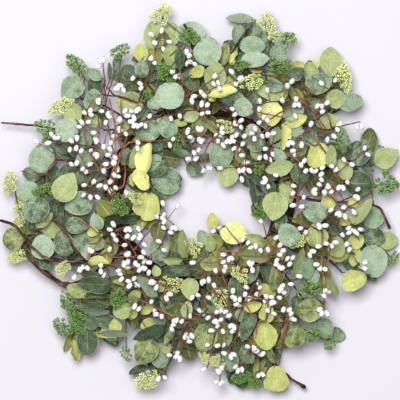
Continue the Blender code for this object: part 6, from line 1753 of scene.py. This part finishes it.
@dataclass
class LeafySprays:
    """The stems of eucalyptus with their leaves, one piece for each node."""

    stocks: dict[str, Stock]  # by slot
    stem_root: float = 2.0
    stem_tip: float = 1.3
    stalk: float = 0.75
    straight: float = 0.35  # cosine between stalk and leaf, under which the stalk takes an elbow
    elbow: float = 5.0
    stalk_reach: float = 0.1  # how far a stalk runs on under its blade, for its length
    stalk_end: float = 0.45  # how thin it ends there
    narrow: float = 0.5  # a leaf narrower than this for its length is pointed
    uneven: tuple = (0.97, 1.03)  # width of a blade for the plan's
    spread: float = 0.26  # how far a leaf's tone strays from its shade's
    pair_gap: float = 15.0
    first_gap: tuple = (0.2, 0.8)  # the first gap for the others
    gap_play: tuple = (0.8, 1.25)  # and how uneven those are
    pair_length: tuple = (26.0, 40.0)
    pair_angle: tuple = (30, 85)  # from the stem
    pair_stalk: tuple = (5, 11)
    pair_lift: tuple = (-3.0, 6.0)  # over the stem
    pair_pitch: tuple = (-14, 14)
    low_foot: float = 14.0  # a leaf whose foot is no higher than this takes the next pitch
    low_pitch: tuple = (0, 16)
    pair_roll: tuple = (-12, 30)
    full: tuple = (0.62, 0.86)  # width for length of the small leaves
    slim: tuple = (0.34, 0.48)
    slim_below: float = -100.0  # the slim ones grow in the lower part of the wreath
    slim_share: float = 0.55
    # Painted shade: the small leaves are painted darker for the shade under the plan's leaves, the lower the
    # darker
    pair_painted_shade: float = 0.48  # how much darker the small leaves are
    ground_painted_shade: float = 0.6  # and how much more on the ground
    painted_shade_by_height: float = 0.01  # less of this for each millimetre up

    def leaf(self, plan: Plan, shade: str, row: tuple, runs: list[Path], rng: random.Random,
             painted_shade: float = 0.0) -> None:
        """Add a leaf and its stalk.

        Args:
            plan: the piece's plan.
            shade: the leaf's shade.
            row: a row of LEAVES.
            runs: the stems; the stalk comes from their nearest point.
            rng: the random source.
            painted_shade: how much darker the leaf is.
        """
        x, y, z, direction, pitch, roll, length, width = row
        turn = leaf_frame(*(math.radians(angle) for angle in (direction, pitch, roll)))
        along, up = turn.col[0], turn.col[2]
        base = Vector((x, y, z))
        root = nearest(base, runs)
        path = [root, base]
        if (base - root).normalized().dot(along) < self.straight:
            path.insert(1, base - along * self.elbow - up)
        path.append(base + along * (self.stalk_reach * length) - up * 0.2)
        radii = [self.stalk] * (len(path) - 1) + [self.stalk * self.stalk_end]
        plan.line(path, radii, 0.7)
        form = LEAF_FORMS.get((x, y), rng.choice(FORMS[shade]))
        narrow = width < self.narrow * length
        form = LeafForm.POINTED if narrow and form is not LeafForm.FOLDED else form
        tone = SHADE_TONE[shade] + rng.uniform(-self.spread, self.spread) - painted_shade
        tone += shade_change(base + along * (length / 2))
        size = (length, width * rng.uniform(*self.uneven), width)
        plan.bear(base, Vector(turn.to_euler()), size, form.value, tone)

    def pairs(self, plan: Plan, path: Path, shades: str, rng: random.Random) -> None:
        """Add the pairs of leaves that grow along a stem, under the plan's leaves, in painted shade.

        Args:
            plan: the piece's plan.
            path: the stem's path from its root.
            shades: the shades to draw from.
            rng: the random source.
        """
        travelled = rng.uniform(*self.first_gap) * self.pair_gap
        for near, far in zip(path, path[1:]):
            step = far - near
            heading = math.degrees(math.atan2(step.y, step.x))
            while travelled < step.length:
                joint = near + step * (travelled / step.length)
                travelled += self.pair_gap * rng.uniform(*self.gap_play)
                for side in (-1, 1):
                    direction = heading + side * rng.uniform(*self.pair_angle)
                    ahead = polar(1.0, math.radians(direction))
                    length = rng.uniform(*self.pair_length)
                    foot = joint + ahead * rng.uniform(*self.pair_stalk) + UP * rng.uniform(*self.pair_lift)
                    middle, tip = foot + ahead * (length / 2), foot + ahead * length
                    pitch = rng.uniform(*(self.pair_pitch if foot.z > self.low_foot else self.low_pitch))
                    if tip.z <= LOWEST_TIP or not within(tip, FOLIAGE):
                        continue
                    if any(within(spot, OPEN) for spot in (foot, middle, tip)):
                        continue
                    shade = rng.choice(shades)
                    slim = foot.y < self.slim_below and rng.random() < self.slim_share
                    roll = side * rng.uniform(*self.pair_roll)
                    width = length * rng.uniform(*(self.slim if slim else self.full))
                    # Painted shade, deeper the nearer the leaf's foot is to the ground
                    painted_shade = self.pair_painted_shade + max(0.0, self.ground_painted_shade - foot.z * self.painted_shade_by_height)
                    row = (*foot, direction, pitch, roll, length, width)
                    self.leaf(plan, shade, row, [[joint - step * 0.01, joint]], rng, painted_shade)
            travelled -= step.length

    def build(self) -> None:
        """Build and dress the sprays."""
        names = [name for name in STEMS if name.rsplit("_", 2)[0] in self.stocks]
        for number, name in enumerate(names):
            rng = random.Random(SEED + number)
            plan = Plan()
            slot, _, spray = name.split("_")
            runs = [[Vector(point) for point in run] for run in STEMS[name]]
            for path in runs:
                plan.line(path, stem_radii(len(path), self.stem_root, self.stem_tip), rng.uniform(0.1, 0.7))
                if len(path) > 2:
                    self.pairs(plan, path, PAIR_SHADES[slot], rng)
            for path, radii, tone in SNAGS.get(name, ()):
                plan.line([Vector(point) for point in path], list(radii), tone)
            for shade in SHADES[slot]:
                for row in LEAVES.get(shade + spray, ()):
                    self.leaf(plan, shade, row, runs, random.Random(SEED + 1000 * row[0] + row[1]))
            plan.grow(name, "leaves", slot, self.stocks[slot])


@dataclass
class BerrySprays:
    """The red-brown twigs with their pairs of white berries."""

    stock: Stock
    twig_root: float = 1.3
    twig_tip: float = 0.75
    twig_stride: float = 8.0
    twig_sway: float = 0.7
    stalk: float = 0.55
    radius: float = 3.45
    length: float = 10.8
    lean: float = 0.6  # the steepest slope of a berry
    beside: float = 2.5  # a berry nearer to its twig than this, seen from above, is turned aside
    held: float = 0.42  # where the stalk ends before the berry's middle, for its length
    sway: float = 0.8  # how far a stalk's middle strays
    growth: tuple = (0.92, 1.12)  # how large the berries are
    twins: float = 0.45  # how many share their foot with a second berry
    twins_right: float = 0.45  # how many times fewer these are on the right
    twin_angle: tuple = (45, 75)

    def berry(self, plan: Plan, centre: Vector, foot: Vector, rng: random.Random) -> None:
        """Add a berry on its stalk.

        Args:
            plan: the piece's plan.
            centre: the berry's middle.
            foot: where the stalk leaves its twig.
            rng: the random source.
        """
        away = centre - foot
        if away.xy.length < self.beside:
            away.xy = Vector((rng.uniform(-3, 3), 3.0))
        steep = self.lean * away.xy.length
        away.z = max(-steep, min(steep, away.z))
        away.normalize()
        low = centre - away * (self.length * self.held)
        bend = Vector([rng.uniform(-self.sway, self.sway) for _ in range(3)])
        radii = [self.stalk * 1.2, self.stalk, self.stalk * 1.1]
        plan.line([foot, foot.lerp(low, 0.5) + bend, low], radii, 0.6)
        grown = rng.uniform(*self.growth)
        size = (self.radius * grown, self.radius * grown, self.length * grown)
        plan.bear(centre, Vector(away.to_track_quat("Z", "Y").to_euler()), size, 0, rng.random())

    def build(self) -> None:
        """Build and dress the sprays."""
        for number, middles in BERRIES.items():
            name = f"berry_spray_{number}"
            rng = random.Random(SEED + number)
            plan = Plan()
            runs = [[Vector(point) for point in run] for run in STEMS[name]]
            for path in runs:
                radii = stem_radii(len(path), self.twig_root, self.twig_tip)
                twig = gnarled(path, radii, rng, self.twig_stride, self.twig_sway)
                plan.line(*twig, rng.uniform(0.1, 1.0))
            for middle in middles:
                centre = Vector(middle)
                foot = nearest(centre, runs)
                self.berry(plan, centre, foot, rng)
                if rng.random() < (self.twins if centre.x < 0 else self.twins * self.twins_right):
                    angle = rng.choice((-1, 1)) * rng.uniform(*self.twin_angle)
                    beside = Matrix.Rotation(math.radians(angle), 3, "Z") @ (centre - foot)
                    self.berry(plan, foot + (beside + UP * rng.uniform(-1.0, 2.0)), foot, rng)
            plan.grow(name, "berries", "berry", self.stock)


@dataclass
class HeadSprays:
    """The umbel seed heads on their stalks, in green or lime."""

    stock: Stock
    kind: str
    forms: int
    stem: float = 1.3
    stalk: float = 0.95
    outward: float = 0.5  # how far a head leans out, where it faces up by 1
    girth: tuple = (0.82, 1.2)  # how much wider one way than the other a head is

    def build(self) -> None:
        """Build and dress the sprays."""
        for number, name in enumerate(key for key in HEADS if key.startswith(f"{self.kind}_head")):
            rng = random.Random(SEED + number)
            plan = Plan()
            for run in STEMS[name]:
                path = [Vector(point) for point in run]
                plan.line(path, stem_radii(len(path), self.stem, self.stalk), 0.5)
            for x, y, z, radius in HEADS[name]:
                facing = (Vector((x, y, z - RING_LIFT)).normalized() * self.outward + UP).normalized()
                turn = facing.to_track_quat("Z", "Y") @ Quaternion(UP, rng.uniform(0, 2 * math.pi))
                wide = rng.uniform(*self.girth)
                if (x, y) in LONG_HEADS:
                    heading, wide = LONG_HEADS[x, y]
                    side = facing.cross(polar(1.0, math.radians(heading))).normalized()
                    turn = Matrix((side.cross(facing), side, facing)).transposed()
                plan.bear(Vector((x, y, z)), Vector(turn.to_euler()), (radius * wide, radius / wide, radius),
                          rng.randrange(self.forms), rng.random())
            plan.grow(name, "umbels", f"{self.kind}_head", self.stock)


@dataclass
class Studio:
    """The pale floor, the soft lights and the camera over the wreath."""

    camera_height: float = 3.06
    lens: float = 180.0
    floor: Colour = (0.56, 0.544, 0.588)
    floor_reach: float = 4.0
    floor_roughness: float = 0.9
    sky: float = 0.235
    # Lights: (name, place, size, power)
    lights: tuple = (("key", (-0.36, 0.68, 3.0), 1.15, 126.0), ("fill", (0.6, -0.2, 3.0), 1.6, 22.2))

    def light(self, name: str, place: Vector, size: float, power: float) -> None:
        """Add a soft square light that faces the middle of the wreath.

        Args:
            name: its name.
            place: where it is.
            size: its side.
            power: its power in watts.
        """
        lamp = bpy.data.lights.new(name, "AREA")
        lamp.size = size
        lamp.energy = power
        item = bpy.data.objects.new(name, lamp)
        item.location = place
        item.rotation_euler = (-place).to_track_quat("-Z", "Y").to_euler()
        bpy.context.scene.collection.objects.link(item)

    def build(self) -> None:
        """Set the stage."""
        reach = self.floor_reach
        corners = [(-reach, -reach, 0), (reach, -reach, 0), (reach, reach, 0), (-reach, reach, 0)]
        floor = new_object("floor", corners, [], [(0, 1, 2, 3)])
        material = bpy.data.materials.new("pale_floor")
        material.use_nodes = True
        surface = material.node_tree.nodes["Principled BSDF"]
        surface.inputs["Base Color"].default_value = (*self.floor, 1.0)
        surface.inputs["Roughness"].default_value = self.floor_roughness
        floor.data.materials.append(material)
        world = bpy.data.worlds.new("studio")
        world.use_nodes = True
        back = world.node_tree.nodes["Background"]
        back.inputs["Color"].default_value = (1.0, 1.0, 1.0, 1.0)
        back.inputs["Strength"].default_value = self.sky
        bpy.context.scene.world = world
        for name, place, size, power in self.lights:
            self.light(name, Vector(place), size, power)
        data = bpy.data.cameras.new("camera")
        data.lens = self.lens
        camera = bpy.data.objects.new("camera", data)
        camera.location = (PLAN_SHIFT[0] * MM, PLAN_SHIFT[1] * MM, self.camera_height)
        bpy.context.scene.collection.objects.link(camera)
        bpy.context.scene.camera = camera
        bpy.context.scene.view_settings.view_transform = "Standard"


def main() -> None:
    """Build every piece in order."""
    logging.basicConfig(level=logging.INFO, format="%(name)s %(message)s")
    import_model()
    tree = GrowthTree()
    stem = LEAF_STEM.make()
    GrapevineRing(Stock(tree, VINE_BARK.make(), 2, 8)).build()
    DarkTwigs(Stock(tree, DARK_BARK.make(), 3, 8)).build()
    blades = ShapeTray("blades", [Blade(form).make() for form in LeafForm])
    LeafySprays({slot: Stock(tree, stem, 3, skin=finish.make(), tray=blades) for slot, finish in (
        ("blue", BLUE_LEAF), ("olive", OLIVE_LEAF), ("lime", LIME_LEAF))}).build()
    blades.empty()
    berries = ShapeTray("berries", [DROP.make()])
    BerrySprays(Stock(tree, BERRY_TWIG.make(), 2, skin=WHITE_BERRY.make(), tray=berries)).build()
    berries.empty()
    head_stem = HEAD_STEM.make()
    umbel_tree = UmbelTree()
    for kind, finish in (("green", GREEN_FLORET), ("lime", LIME_FLORET)):
        shapes = Umbels(umbel_tree, finish.make())
        umbels = ShapeTray(f"{kind}_umbels", shapes.make())
        HeadSprays(Stock(tree, head_stem, 4, skin=shapes.material, tray=umbels), kind, shapes.count).build()
        umbels.empty()
    Studio().build()


if __name__ == "__main__":
    main()
